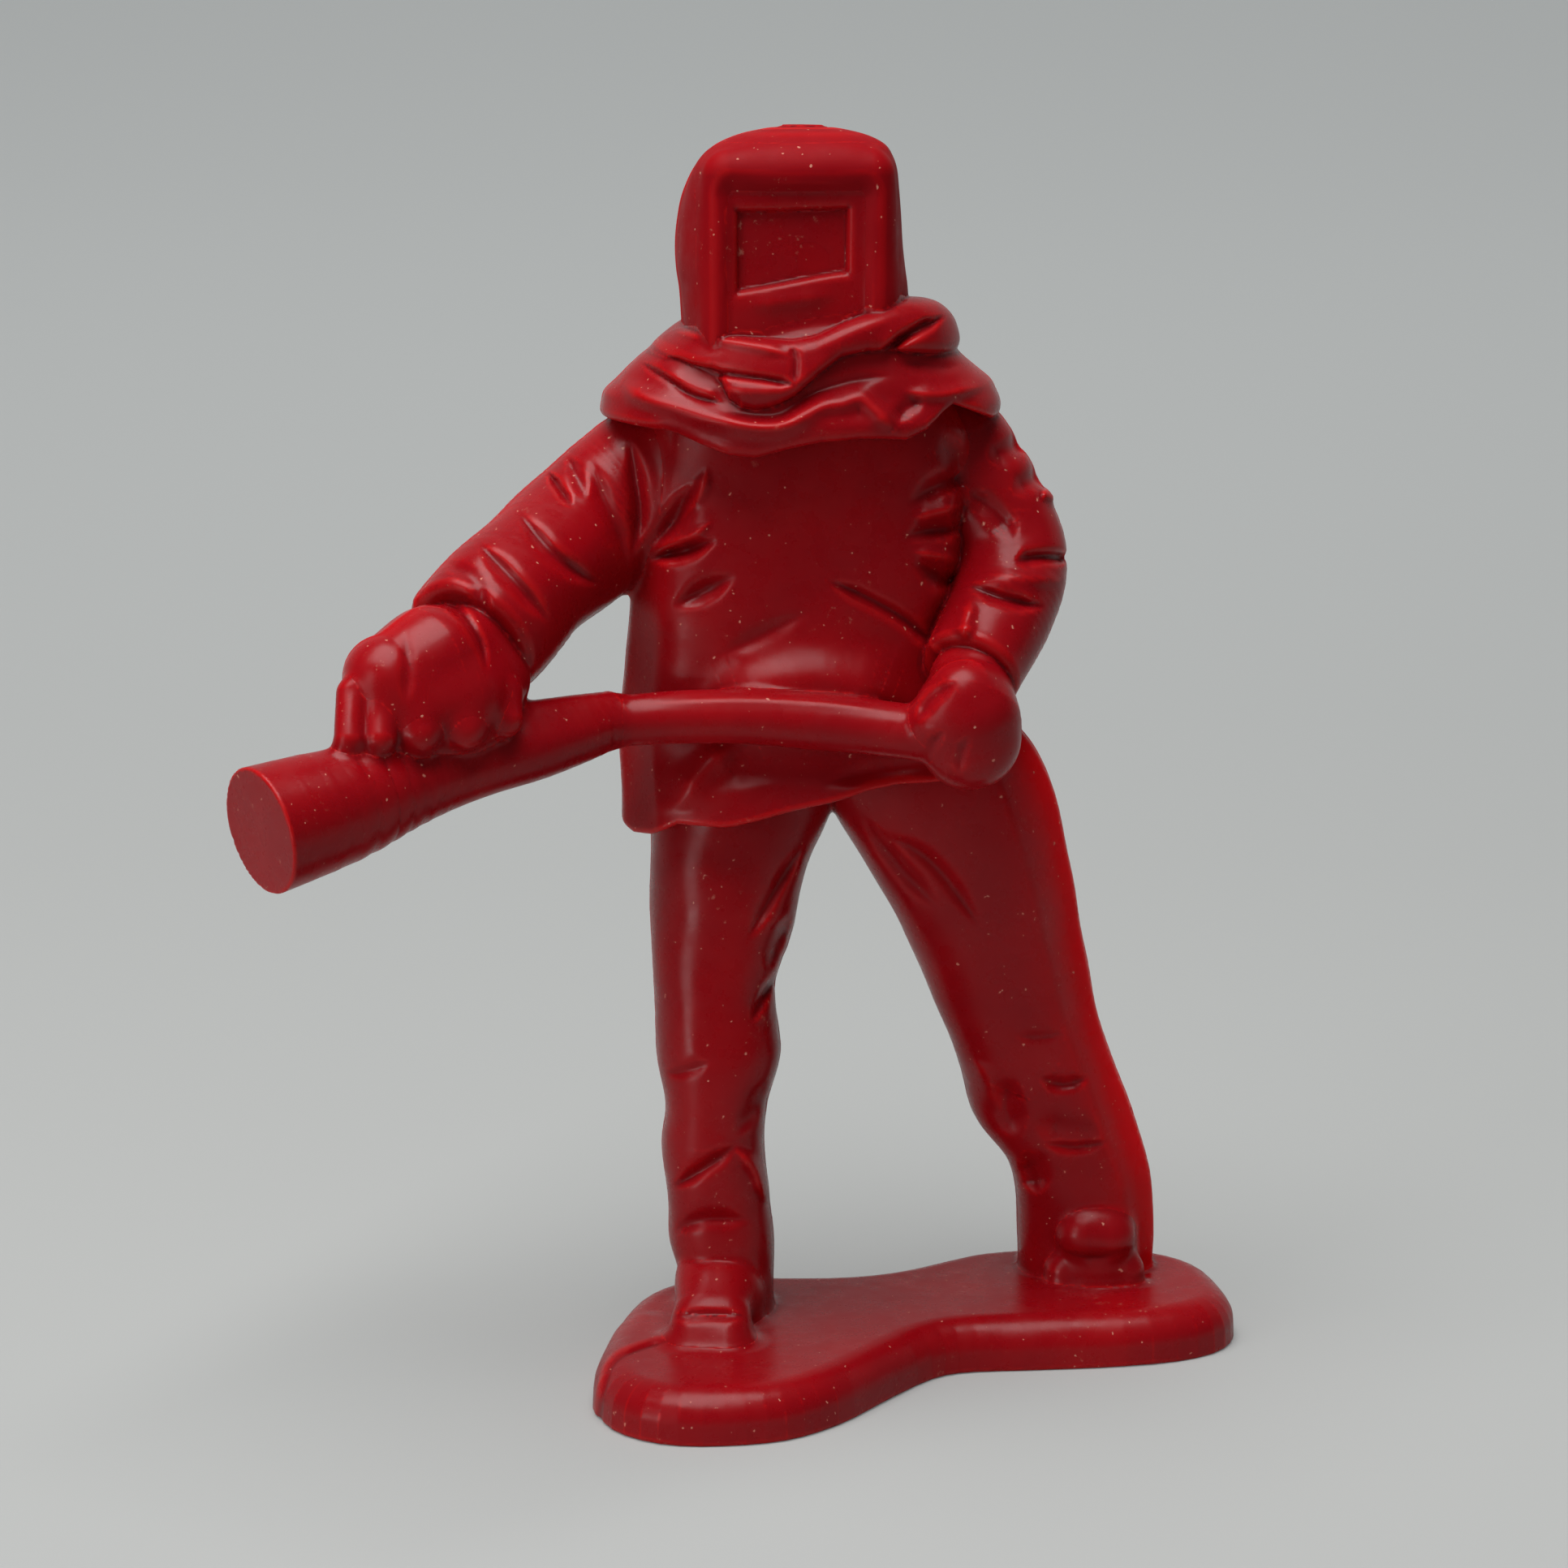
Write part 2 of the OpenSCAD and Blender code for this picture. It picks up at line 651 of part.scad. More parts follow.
// Hood and visor as one lump, for what lies round them
module head_lump() {
    hood_form();
    at_hood() face_slab(rim_outer_w, rim_h, rim_z, rim_corner, face_y - rim_t, 0);
}

// Cape: share of its height, of the way in to the neck and of the front's dip, from the hem up
cape_shares = [[0, 0, 1], [0.2, -0.01, 0.9], [0.42, 0.1, 0.7], [0.68, 0.42, 0.4], [0.86, 0.76, 0.2],
    [1, 1, 0]];
cape_depth_share = 0.45;
cape_slope_share = 0.1;

module cape_form() {
    neck_d = lerp(cape_d, hood_d, cape_depth_share);
    loft(level_rings([for (s = cape_shares)
        [cape_hem_mid.x, cape_hem_mid.y, cape_hem_mid.z + cape_h * s[0], lerp(cape_w, cape_neck_w, s[1]) / 2,
            lerp(cape_d, neck_d, s[1]) / 2, hem_slope * s[0] * cape_slope_share, cape_dip_h * s[2]]],
        torso_sides, cape_square));
}

// Roll of cloth: a hoop round the hood on top of the cape, tilted, and lower at the front
roll_sides = 30;
roll_facets = 12;
roll_dip_share = 0.5;
roll_back_share = 0.97;

module roll_form() {
    hw = (roll_w - roll_d) / 2;
    hd = hood_d * roll_back_share / 2;
    mid = hood_mid + [-hood_from.x / 2, 0, cape_h - cape_drop + roll_lift];
    hoop([for (i = [0:roll_sides - 1])
        let (a = 360 * i / roll_sides, front = max(0, -sin(a)))
        let (c = mid + [hw * cos(a), hd * sin(a),
            hw * cos(a) * tan(roll_tilt) - roll_d * roll_dip_share * front * front])
        ring([c.x, c.y, c.z, roll_d / 2, roll_d / 2], [0, 0, 1], [cos(a), sin(a), 0], roll_facets, 2)]);
}

module neck_roll() {
    color(red) difference() {
        roll_form();
        head_lump();
    }
}

module cape() {
    color(red) difference() {
        cape_form();
        jacket_form();
        head_lump();
        right_sleeve_form();
        left_sleeve_form();
        roll_form();
    }
}

base_plate();
right_boot();
left_boot();
right_trouser_leg();
left_trouser_leg();
jacket();
right_sleeve();
left_sleeve();
right_glove();
right_glove_fingers();
left_glove();
nozzle();
hose();
hood();
visor_rim();
visor_panel();
visor_window();
neck_roll();
cape();
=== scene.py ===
"""Red moulded toy figure of a hooded firefighter with hose and nozzle, dressed for Blender.

The real thing is one solid moulding: every garment runs into the next with a soft root radius, so
surfaces over two parameters would leave hard seams where there are none. The figure is therefore
sculpted as signed fields in millimetres (below zero inside), fused with small root radii, and then
cut back into its named pieces along the sculptor's own lines. The zero level of each piece's field
is meshed with whole numpy arrays.

Lengths of the figure are in millimetres, and those of the studio in metres. Left and right in the
names of pieces are the figure's own sides.
"""
from __future__ import annotations

import logging
import math
from dataclasses import dataclass
from enum import Enum
from typing import ClassVar

import bpy
import numpy as np
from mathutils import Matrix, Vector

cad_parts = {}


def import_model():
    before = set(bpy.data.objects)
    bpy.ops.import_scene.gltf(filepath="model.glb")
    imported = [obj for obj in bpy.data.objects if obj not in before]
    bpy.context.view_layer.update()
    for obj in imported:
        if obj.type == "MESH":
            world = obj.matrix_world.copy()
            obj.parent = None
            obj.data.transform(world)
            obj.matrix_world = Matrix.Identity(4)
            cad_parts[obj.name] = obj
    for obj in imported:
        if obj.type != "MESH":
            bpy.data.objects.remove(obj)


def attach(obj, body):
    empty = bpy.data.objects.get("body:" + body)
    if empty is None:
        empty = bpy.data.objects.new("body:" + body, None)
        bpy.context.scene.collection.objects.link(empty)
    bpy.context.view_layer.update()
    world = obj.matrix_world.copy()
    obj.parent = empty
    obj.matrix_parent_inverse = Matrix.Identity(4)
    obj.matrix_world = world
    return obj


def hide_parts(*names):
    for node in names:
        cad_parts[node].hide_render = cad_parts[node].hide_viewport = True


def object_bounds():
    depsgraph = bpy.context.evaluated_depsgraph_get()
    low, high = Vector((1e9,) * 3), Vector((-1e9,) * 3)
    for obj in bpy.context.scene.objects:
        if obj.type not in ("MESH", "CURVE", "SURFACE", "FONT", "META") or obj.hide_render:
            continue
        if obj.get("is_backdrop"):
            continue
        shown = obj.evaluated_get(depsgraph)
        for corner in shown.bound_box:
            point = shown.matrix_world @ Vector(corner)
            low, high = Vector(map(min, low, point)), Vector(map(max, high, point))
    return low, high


LOG = logging.getLogger("figure")
Array = np.ndarray
Rows = tuple[tuple[float, ...], ...]
Place = tuple[float, float, float]
Colour = tuple[float, float, float]
Socket = bpy.types.NodeSocket
MM = 0.001
FAR = 5.0
BODY = "root"
FULL_STEP = .14
# Gain of curvature into the edge measure, from which shade is painted into creases and a highlight onto
# edges.
PAINTED_LIGHT_GAIN = .16
TINY = 1e-9
SMALL = 1e-6


# The camera

@dataclass(frozen=True)
class FrontView:
    """The viewpoint: a pinhole camera in front of the figure that looks down a little.

    Focal length and middle are in points of a square picture, 1932 points wide. The front drawing, on
    which folds are drawn, is that picture at about life size, right and down from its corner.
    """

    place: Place = (-6.9, -166.1, 60.0)
    pitch: float = math.atan(0.1865)
    focal: float = 4348.5
    middle: float = 966.0
    points_per_mm: float = 26.4
    sensor: float = 36.0
    nearest: float = 0.01

    def drawing(self, p: Array) -> Array:
        """Places points on the front drawing by the pinhole projection.

        Args:
            p: Points, n by 3, in millimetres.
        Returns:
            n by 2, right and down, in millimetres of the drawing.
        """
        x, y, z = (p[:, i] - self.place[i] for i in range(3))
        deep = y * math.cos(self.pitch) - z * math.sin(self.pitch)
        up = y * math.sin(self.pitch) + z * math.cos(self.pitch)
        right, down = self.middle + self.focal * x / deep, self.middle - self.focal * up / deep
        return np.stack([right, down], 1) / self.points_per_mm

    def build(self) -> None:
        """Makes the camera and sets it as the scene's own."""
        data = bpy.data.cameras.new("view")
        data.sensor_width = self.sensor
        data.lens = self.sensor * self.focal / (2.0 * self.middle)
        data.clip_start = self.nearest
        camera = bpy.data.objects.new("view", data)
        camera.location = [v * MM for v in self.place]
        camera.rotation_euler = (math.pi / 2 - self.pitch, 0.0, 0.0)
        bpy.context.collection.objects.link(camera)
        bpy.context.scene.camera = camera


VIEW = FrontView()


# Field tools

def smooth_min(a: Array, b: Array, k: float) -> Array:
    """Soft minimum: the lower field, less h*h*k/4 where h is how far the two come within k.

    Args:
        a: One field.
        b: The other.
        k: Width of the blend, none at zero.
    Returns:
        The blended field.
    """
    if k <= 0.0:
        return np.minimum(a, b)
    h = np.maximum(k - np.abs(a - b), 0.0) / k
    return np.minimum(a, b) - h * h * (k * 0.25)


def smooth_max(a: Array, b: Array, k: float) -> Array:
    """Soft maximum, the soft minimum of the negatives turned back."""
    return -smooth_min(-a, -b, k)


def eased(x: Array, low: float, high: float) -> Array:
    """Goes from 0 at low to 1 at high along 3t*t - 2t*t*t."""
    t = np.clip((x - low) / (high - low), 0.0, 1.0)
    return t * t * (3.0 - 2.0 * t)


def spline(rows: Rows | Array, steps: int) -> Array:
    """Carries a Catmull-Rom curve through rows of numbers.

    Args:
        rows: Stations, each a row of the same length.
        steps: Points for each stretch between two stations.
    Returns:
        The dense rows, first and last station included.
    """
    r = np.asarray(rows, float)
    p = np.vstack([2 * r[0] - r[1], r, 2 * r[-1] - r[-2]])
    t = np.linspace(0.0, 1.0, steps, endpoint=False)[:, None, None]
    a, b, c, d = p[:-3], p[1:-2], p[2:-1], p[3:]
    m = 0.5 * (2 * b + (c - a) * t + (2 * a - 5 * b + 4 * c - d) * t**2 + (3 * b - a - 3 * c + d) * t**3)
    return np.vstack([m.transpose(1, 0, 2).reshape(-1, r.shape[1]), r[-1:]])


def beside(p: Array, path: Array) -> tuple[Array, Array]:
    """Measures flat points against a polyline.

    The nearest of all stretches counts; the side is the sign of the cross product there.

    Args:
        p: Points, n by 2.
        path: Corners of the polyline, m by 2.
    Returns:
        Distance with the left-hand side (y up) positive, and the share of the way along.
    """
    step = np.diff(path, axis=0)
    run = np.hypot(step[:, 0], step[:, 1])
    begin = np.concatenate([[0.0], np.cumsum(run)])
    best = np.full(len(p), np.inf, np.float32)
    side = np.ones(len(p), np.float32)
    share = np.zeros(len(p), np.float32)
    for i, s in enumerate(step):
        rel = p - path[i]
        t = np.clip((rel @ s) / (s @ s), 0.0, 1.0)
        off = np.hypot(rel[:, 0] - t * s[0], rel[:, 1] - t * s[1])
        near = off < best
        best = np.where(near, off, best)
        side = np.where(near, np.sign(s[0] * rel[:, 1] - s[1] * rel[:, 0]), side)
        share = np.where(near, (begin[i] + t * run[i]) / begin[-1], share)
    return best * side, share


# Forms

class Form:
    """A solid given by a signed field in millimetres."""

    def measure(self, p: Array) -> tuple[Array, Array]:
        """Gives the field at points (n by 3), and the depth (y) of the form's own middle there."""
        raise NotImplementedError

    def reach(self) -> tuple[Array, Array]:
        """Gives the lowest and highest corner of the space the form can fill."""
        raise NotImplementedError


@dataclass
class Levels(Form):
    """Level slices stacked along z: superellipses with |u|^e + |v|^e = 1.

    Each row is z, x, y, half width, half depth. A flank is a flat cut down one side: side sign,
    share of the half width, share of the half depth and angle from the side in degrees. Hems cut
    the stack off below or above along rows of x and z, with rows of their own for the back.
    """

    rows: Rows
    square: float = 2.4
    turn: float = 0.0
    end_round: float = 0.4
    flanks: Rows = ()
    flank_round: float = 0.25
    below: Rows = ()
    below_back: Rows = ()
    above: Rows = ()
    above_back: Rows = ()
    hem_round: float = 0.3

    dense: ClassVar[int] = 8
    hem_change: ClassVar[float] = 1.5
    hem_slope: ClassVar[float] = 0.9

    def __post_init__(self) -> None:
        """Works out the dense table once."""
        table = spline(sorted(self.rows), self.dense)
        self.table = table[np.argsort(table[:, 0])]

    def measure(self, p: Array) -> tuple[Array, Array]:
        """Distance along the ray from the axis: q - q / (superellipse radius of the point).

        Args:
            p: Points, n by 3.
        Returns:
            The field, and the y of the axis at each point's height.
        """
        z = p[:, 2]
        levels = self.table[:, 0]
        cx, cy, a, b = (np.interp(z, levels, self.table[:, i]).astype(np.float32) for i in range(1, 5))
        dx, dy = p[:, 0] - cx, p[:, 1] - cy
        if self.turn:
            c, s = math.cos(math.radians(self.turn)), math.sin(math.radians(self.turn))
            dx, dy = c * dx + s * dy, c * dy - s * dx
        e = self.square
        rho = ((np.abs(dx) / a) ** e + (np.abs(dy) / b) ** e + TINY) ** (1.0 / e)
        q = np.hypot(dx, dy) + SMALL
        d = q - q / rho
        for side, su, sv, angle in self.flanks:
            c, s = math.cos(math.radians(angle)), math.sin(math.radians(angle))
            cut = (side * dx - su * a) * c - (dy + sv * b) * s
            d = smooth_max(d, cut, self.flank_round)
        d = smooth_max(d, np.maximum(z - levels[-1], levels[0] - z), self.end_round)
        for front, back, way in ((self.below, self.below_back, 1.0), (self.above, self.above_back, -1.0)):
            if front:
                near = np.interp(p[:, 0], *np.transpose(front))
                far = np.interp(p[:, 0], *np.transpose(back or front))
                hem = near + (far - near) * eased(p[:, 1] - cy, -self.hem_change, self.hem_change)
                d = smooth_max(d, (way * (hem - z)).astype(np.float32) * self.hem_slope, self.hem_round)
        return d, cy

    def reach(self) -> tuple[Array, Array]:
        """Gives the box round every slice, turned or not.

        Returns:
            Lowest and highest corner.
        """
        t = self.table
        wide = np.maximum(t[:, 3], t[:, 4])[:, None] if self.turn else t[:, 3:5]
        low, high = (t[:, 1:3] - wide).min(0), (t[:, 1:3] + wide).max(0)
        return np.append(low, t[0, 0]), np.append(high, t[-1, 0])


@dataclass
class Path(Form):
    """A round profile carried along a curve: each row is x, y, z, radius.

    The field is the distance from the nearest stretch less the radius there.
    """

    rows: Rows
    steps: int = 4
    flat_start: bool = False
    flat_end: bool = False
    end_round: float = 0.2

    def __post_init__(self) -> None:
        """Works out the dense curve once."""
        self.curve = spline(self.rows, self.steps).astype(np.float32)

    def measure(self, p: Array) -> tuple[Array, Array]:
        """Takes the least over all stretches of distance less radius, then cuts the flat ends.

        Args:
            p: Points, n by 3.
        Returns:
            The field, and the y of the nearest place on the curve.
        """
        best = np.full(len(p), np.inf, np.float32)
        mid = np.zeros(len(p), np.float32)
        for a, b in zip(self.curve[:-1], self.curve[1:]):
            s = b[:3] - a[:3]
            rel = p - a[:3]
            t = np.clip((rel @ s) / (s @ s), 0.0, 1.0)
            off = rel - t[:, None] * s
            d = np.sqrt(np.einsum("ij,ij->i", off, off)) - (a[3] + t * (b[3] - a[3]))
            near = d < best
            best = np.where(near, d, best)
            mid = np.where(near, a[1] + t * s[1], mid)
        for flat, tip, last in ((self.flat_start, 0, 1), (self.flat_end, -1, -2)):
            if flat:
                n = self.curve[tip, :3] - self.curve[last, :3]
                best = smooth_max(best, (p - self.curve[tip, :3]) @ (n / np.linalg.norm(n)), self.end_round)
        return best, mid

    def reach(self) -> tuple[Array, Array]:
        """Gives the box round the swept profile."""
        c = self.curve
        return (c[:, :3] - c[:, 3:]).min(0), (c[:, :3] + c[:, 3:]).max(0)


@dataclass
class Lumps(Form):
    """Tapered sausages fused together: each row is two ends and two radii, eight numbers."""

    rows: Rows
    fuse: float = 0.5

    def measure(self, p: Array) -> tuple[Array, Array]:
        """Soft minimum over the sausages of distance from the core less its radius.

        Args:
            p: Points, n by 3.
        Returns:
            The field, and the y of the nearest core.
        """
        best, mid = None, None
        for row in self.rows:
            a, b = np.asarray(row[:3], np.float32), np.asarray(row[3:6], np.float32)
            s = b - a
            rel = p - a
            t = np.clip((rel @ s) / max(float(s @ s), SMALL), 0.0, 1.0)
            off = rel - t[:, None] * s
            d = np.sqrt(np.einsum("ij,ij->i", off, off)) - (row[6] + t * (row[7] - row[6]))
            y = a[1] + t * s[1]
            if best is None:
                best, mid = d, y
            else:
                mid = np.where(d < best, y, mid)
                best = smooth_min(best, d, self.fuse)
        return best, mid

    def reach(self) -> tuple[Array, Array]:
        """Gives the box round all the sausages.

        Returns:
            Lowest and highest corner.
        """
        r = np.asarray(self.rows, float)
        ends = np.vstack([r[:, :3], r[:, 3:6]])
        radii = np.concatenate([r[:, 6], r[:, 7]])[:, None]
        return (ends - radii).min(0), (ends + radii).max(0)


@dataclass
class Slab(Form):
    """A rounded block: length of the outside part of |q| - (h - r), less r, in its turned frame.

    The turn is about z, in degrees; the slant shears the block upwards along its own x.
    """

    at: Place
    half: Place
    round: float
    turn: float = 0.0
    slant: float = 0.0

    room: ClassVar[float] = 0.2

    def local(self, p: Array) -> Array:
        """Turns points into the block's own frame.

        Args:
            p: Points, n by 3.
        Returns:
            The points seen from the block's middle.
        """
        c, s = math.cos(math.radians(self.turn)), math.sin(math.radians(self.turn))
        x, y, z = (p[:, i] - self.at[i] for i in range(3))
        x, y = c * x + s * y, c * y - s * x
        return np.stack([x, y, z - self.slant * x], 1)

    def measure(self, p: Array) -> tuple[Array, Array]:
        """Distance of the rounded block.

        Args:
            p: Points, n by 3.
        Returns:
            The field, and the y of the block's middle.
        """
        q = np.abs(self.local(p)) - (np.asarray(self.half) - self.round)
        d = np.sqrt((np.maximum(q, 0.0) ** 2).sum(1)) + np.minimum(q.max(1), 0.0) - self.round
        return d.astype(np.float32), np.full(len(p), self.at[1], np.float32)

    def reach(self) -> tuple[Array, Array]:
        """Gives a box that holds the block at any turn, with room of a share of its half depth.

        Returns:
            Lowest and highest corner.
        """
        x, y, z = self.half
        wide = np.array([np.hypot(x, y), np.hypot(x, y), z + self.room * y + abs(self.slant) * x])
        return np.asarray(self.at) - wide, np.asarray(self.at) + wide


@dataclass
class Joined(Form):
    """Forms fused with a root radius, less the forms cut out of them."""

    forms: tuple[Form, ...]
    fuse: float = 0.3
    cuts: tuple[Form, ...] = ()
    cut_round: float = 0.15

    def measure(self, p: Array) -> tuple[Array, Array]:
        """Soft minimum of the forms, then soft maximum with the cuts' negatives.

        Args:
            p: Points, n by 3.
        Returns:
            The field, and the y of the nearest form's middle.
        """
        best, mid = self.forms[0].measure(p)
        for form in self.forms[1:]:
            d, y = form.measure(p)
            mid = np.where(d < best, y, mid)
            best = smooth_min(best, d, self.fuse)
        for form in self.cuts:
            best = smooth_max(best, -form.measure(p)[0], self.cut_round)
        return best, mid

    def reach(self) -> tuple[Array, Array]:
        """Gives the box round all the forms."""
        boxes = [form.reach() for form in self.forms]
        return np.min([b[0] for b in boxes], 0), np.max([b[1] for b in boxes], 0)


@dataclass
class Plate(Form):
    """A flat plate on a closed outline: top edge rounded, walls drawn in a little towards the top."""

    outline: Array
    high: float
    top_round: float
    foot_round: float = 0.25
    draft: float = 0.1

    def measure(self, p: Array) -> tuple[Array, Array]:
        """Rounded extrusion of the outline's flat distance.

        A point is inside the outline where a ray to its right crosses it an odd number of times.

        Args:
            p: Points, n by 3.
        Returns:
            The field, and zero for the middle.
        """
        ring = np.vstack([self.outline, self.outline[:1]])
        best = np.full(len(p), np.inf, np.float32)
        inside = np.zeros(len(p), bool)
        x, y, z = p[:, 0], p[:, 1], p[:, 2]
        for a, b in zip(ring[:-1], ring[1:]):
            s = b - a
            t = np.clip(((x - a[0]) * s[0] + (y - a[1]) * s[1]) / (s @ s), 0.0, 1.0)
            best = np.minimum(best, np.hypot(x - a[0] - t * s[0], y - a[1] - t * s[1]))
            cross = (a[1] > y) != (b[1] > y)
            rise = s[1] if abs(s[1]) > TINY else TINY
            inside ^= cross & (x < a[0] + (y - a[1]) * s[0] / rise)
        d = np.where(inside, -best, best) + self.draft * (z / self.high)
        r = self.top_round
        u, w = d + r, z - (self.high - r)
        top = np.hypot(np.maximum(u, 0.0), np.maximum(w, 0.0)) + np.minimum(np.maximum(u, w), 0.0) - r
        return smooth_max(top, -z, self.foot_round).astype(np.float32), np.zeros(len(p), np.float32)

    def reach(self) -> tuple[Array, Array]:
        """Gives the outline's box over the plate's height."""
        return np.append(self.outline.min(0), 0.0), np.append(self.outline.max(0), self.high)


# Creases and pieces

class Face(Enum):
    """Which side of the figure a crease is drawn on."""

    FRONT = 1
    BACK = -1


class Finish(Enum):
    """The two states of the plastic's surface."""

    GLOSSY = "red_plastic"
    WORN = "red_plastic_worn"


@dataclass
class Crease:
    """A fold drawn on the front or the back and pressed into the surface.

    A front line is given in points of the picture, right and down; a back line in x and z. The depth
    follows a bell exp(-(s/w)^2) across the line; depth and width fade at both ends, like a leaf. A
    negative depth raises a ridge. A lip lifts the cloth above a line drawn to the right (or below one
    drawn to the left), steep at the line and dying away as exp(-s/lip_wide).
    """

    line: Rows
    depth: float
    width: float
    lip: float = 0.0
    lip_wide: float = 0.9
    fade: float = 0.35
    face: Face = Face.FRONT

    dense: ClassVar[int] = 5
    bell_reach: ClassVar[float] = 2.6
    lip_reach: ClassVar[float] = 3.5
    overrun: ClassVar[float] = 0.02
    end_width: ClassVar[float] = 0.45
    lip_start: ClassVar[float] = -0.5

    def __post_init__(self) -> None:
        """Smooths the line, right and down in millimetres, and finds how far the crease reaches."""
        front = self.face is Face.FRONT
        scale = (VIEW.points_per_mm, VIEW.points_per_mm) if front else (1.0, -1.0)
        self.path = spline(self.line, self.dense) / scale
        self.margin = max(self.bell_reach * self.width, self.lip_reach * self.lip_wide * (self.lip > 0))

    def press(self, flat: Array) -> Array:
        """Gives how deep the crease is at flat points, zero away from it.

        Args:
            flat: Points, n by 2, right and down.
        Returns:
            Depth at each point, in millimetres.
        """
        out = np.zeros(len(flat), np.float32)
        low, high = self.path.min(0) - self.margin, self.path.max(0) + self.margin
        near = ((flat > low) & (flat < high)).all(1)
        if not near.any():
            return out
        s, share = beside(flat[near], self.path)
        ends = eased(share, -self.overrun, self.fade) * eased(1.0 - share, -self.overrun, self.fade)
        wide = self.width * (self.end_width + (1.0 - self.end_width) * ends)
        fold = self.depth * np.exp(-((s / wide) ** 2))
        if self.lip:
            rise = self.lip * eased(-s / wide, self.lip_start, 1.0)
            fold -= rise * np.exp(-np.maximum(-s, 0.0) / self.lip_wide)
        out[near] = fold * ends
        return out


Folds = tuple[Crease, ...]


@dataclass
class Piece:
    """One named piece of the moulding.

    It has its form, its root radius to the pieces before it, its folds, the height of its parting
    seam and of its hand-cut unevenness, and how far in front of the parting line its painted glow
    reaches, a lighter red that stands in for light shining through the plastic.

    A wave of the unevenness is the product of two sines; its row holds a height and, for each sine,
    the rates along x, y and z and the lag.
    """

    name: str
    form: Form
    root: float = 0.2
    creases: Folds = ()
    seam: float = 0.05
    rough: float = 0.04
    painted_glow: float = 0.6
    # Width of the painted glow in front of the parting line, in millimetres.
    finish: Finish = Finish.GLOSSY

    margin: ClassVar[float] = 1.6
    seam_width: ClassVar[float] = 0.16
    fold_reach: ClassVar[float] = 2.0
    past_middle: ClassVar[float] = 0.9
    change: ClassVar[float] = 0.6
    waves: ClassVar[Rows] = (
        (1.0, 0.83, 0.0, 0.41, 0.0, 0.0, -0.52, 0.67, 1.3),
        (0.7, 0.0, 0.55, 1.13, 2.1, 1.27, 0.0, -0.31, 0.0))

    def __post_init__(self) -> None:
        """Keeps the box in which the field is worked out."""
        low, high = self.form.reach()
        self.low, self.high = np.asarray(low) - self.margin, np.asarray(high) + self.margin

    def distance(self, p: Array) -> Array:
        """The form's field with its folds pressed in, a parting seam and a hand-cut unevenness.

        Args:
            p: Points, n by 3.
        Returns:
            The piece's field.
        """
        d, mid = self.form.measure(p)
        d = d.astype(np.float32)
        deep = p[:, 1] - mid
        x, y, z = p[:, 0], p[:, 1], p[:, 2]
        wave = np.zeros(len(p), np.float32)
        for high, *rates in self.waves:
            one, two = (np.sin(a * x + b * y + c * z + lag) for a, b, c, lag in (rates[:4], rates[4:]))
            wave += high * one * two
        d += self.rough * wave
        if self.seam:
            d -= self.seam * np.exp(-((deep / self.seam_width) ** 2))
        for face in Face:
            folds = [c for c in self.creases if c.face is face]
            near = (np.abs(d) < self.fold_reach) & (deep * face.value < self.past_middle)
            if folds and near.any():
                q = p[near]
                flat = VIEW.drawing(q) if face is Face.FRONT else np.stack([q[:, 0], -q[:, 2]], 1)
                flat = flat.astype(np.float32)
                weight = eased(-deep[near] * face.value, -self.change, self.change)
                d[near] += weight * sum(c.press(flat) for c in folds)
        return d


@dataclass
class Skin:
    """A meshed piece: points, quads, outward normals, and two measures at the points.

    The bend is the curvature, above zero on edges and below it in creases; the plastic paints shade
    into creases and a highlight onto edges from it. The rim is the mask of the painted glow: 1 on
    the strip in front of the parting line, where a lighter red stands in for light shining through
    the plastic, and 0 away from it.
    """

    points: Array
    quads: Array
    normals: Array
    bend: Array
    rim: Array


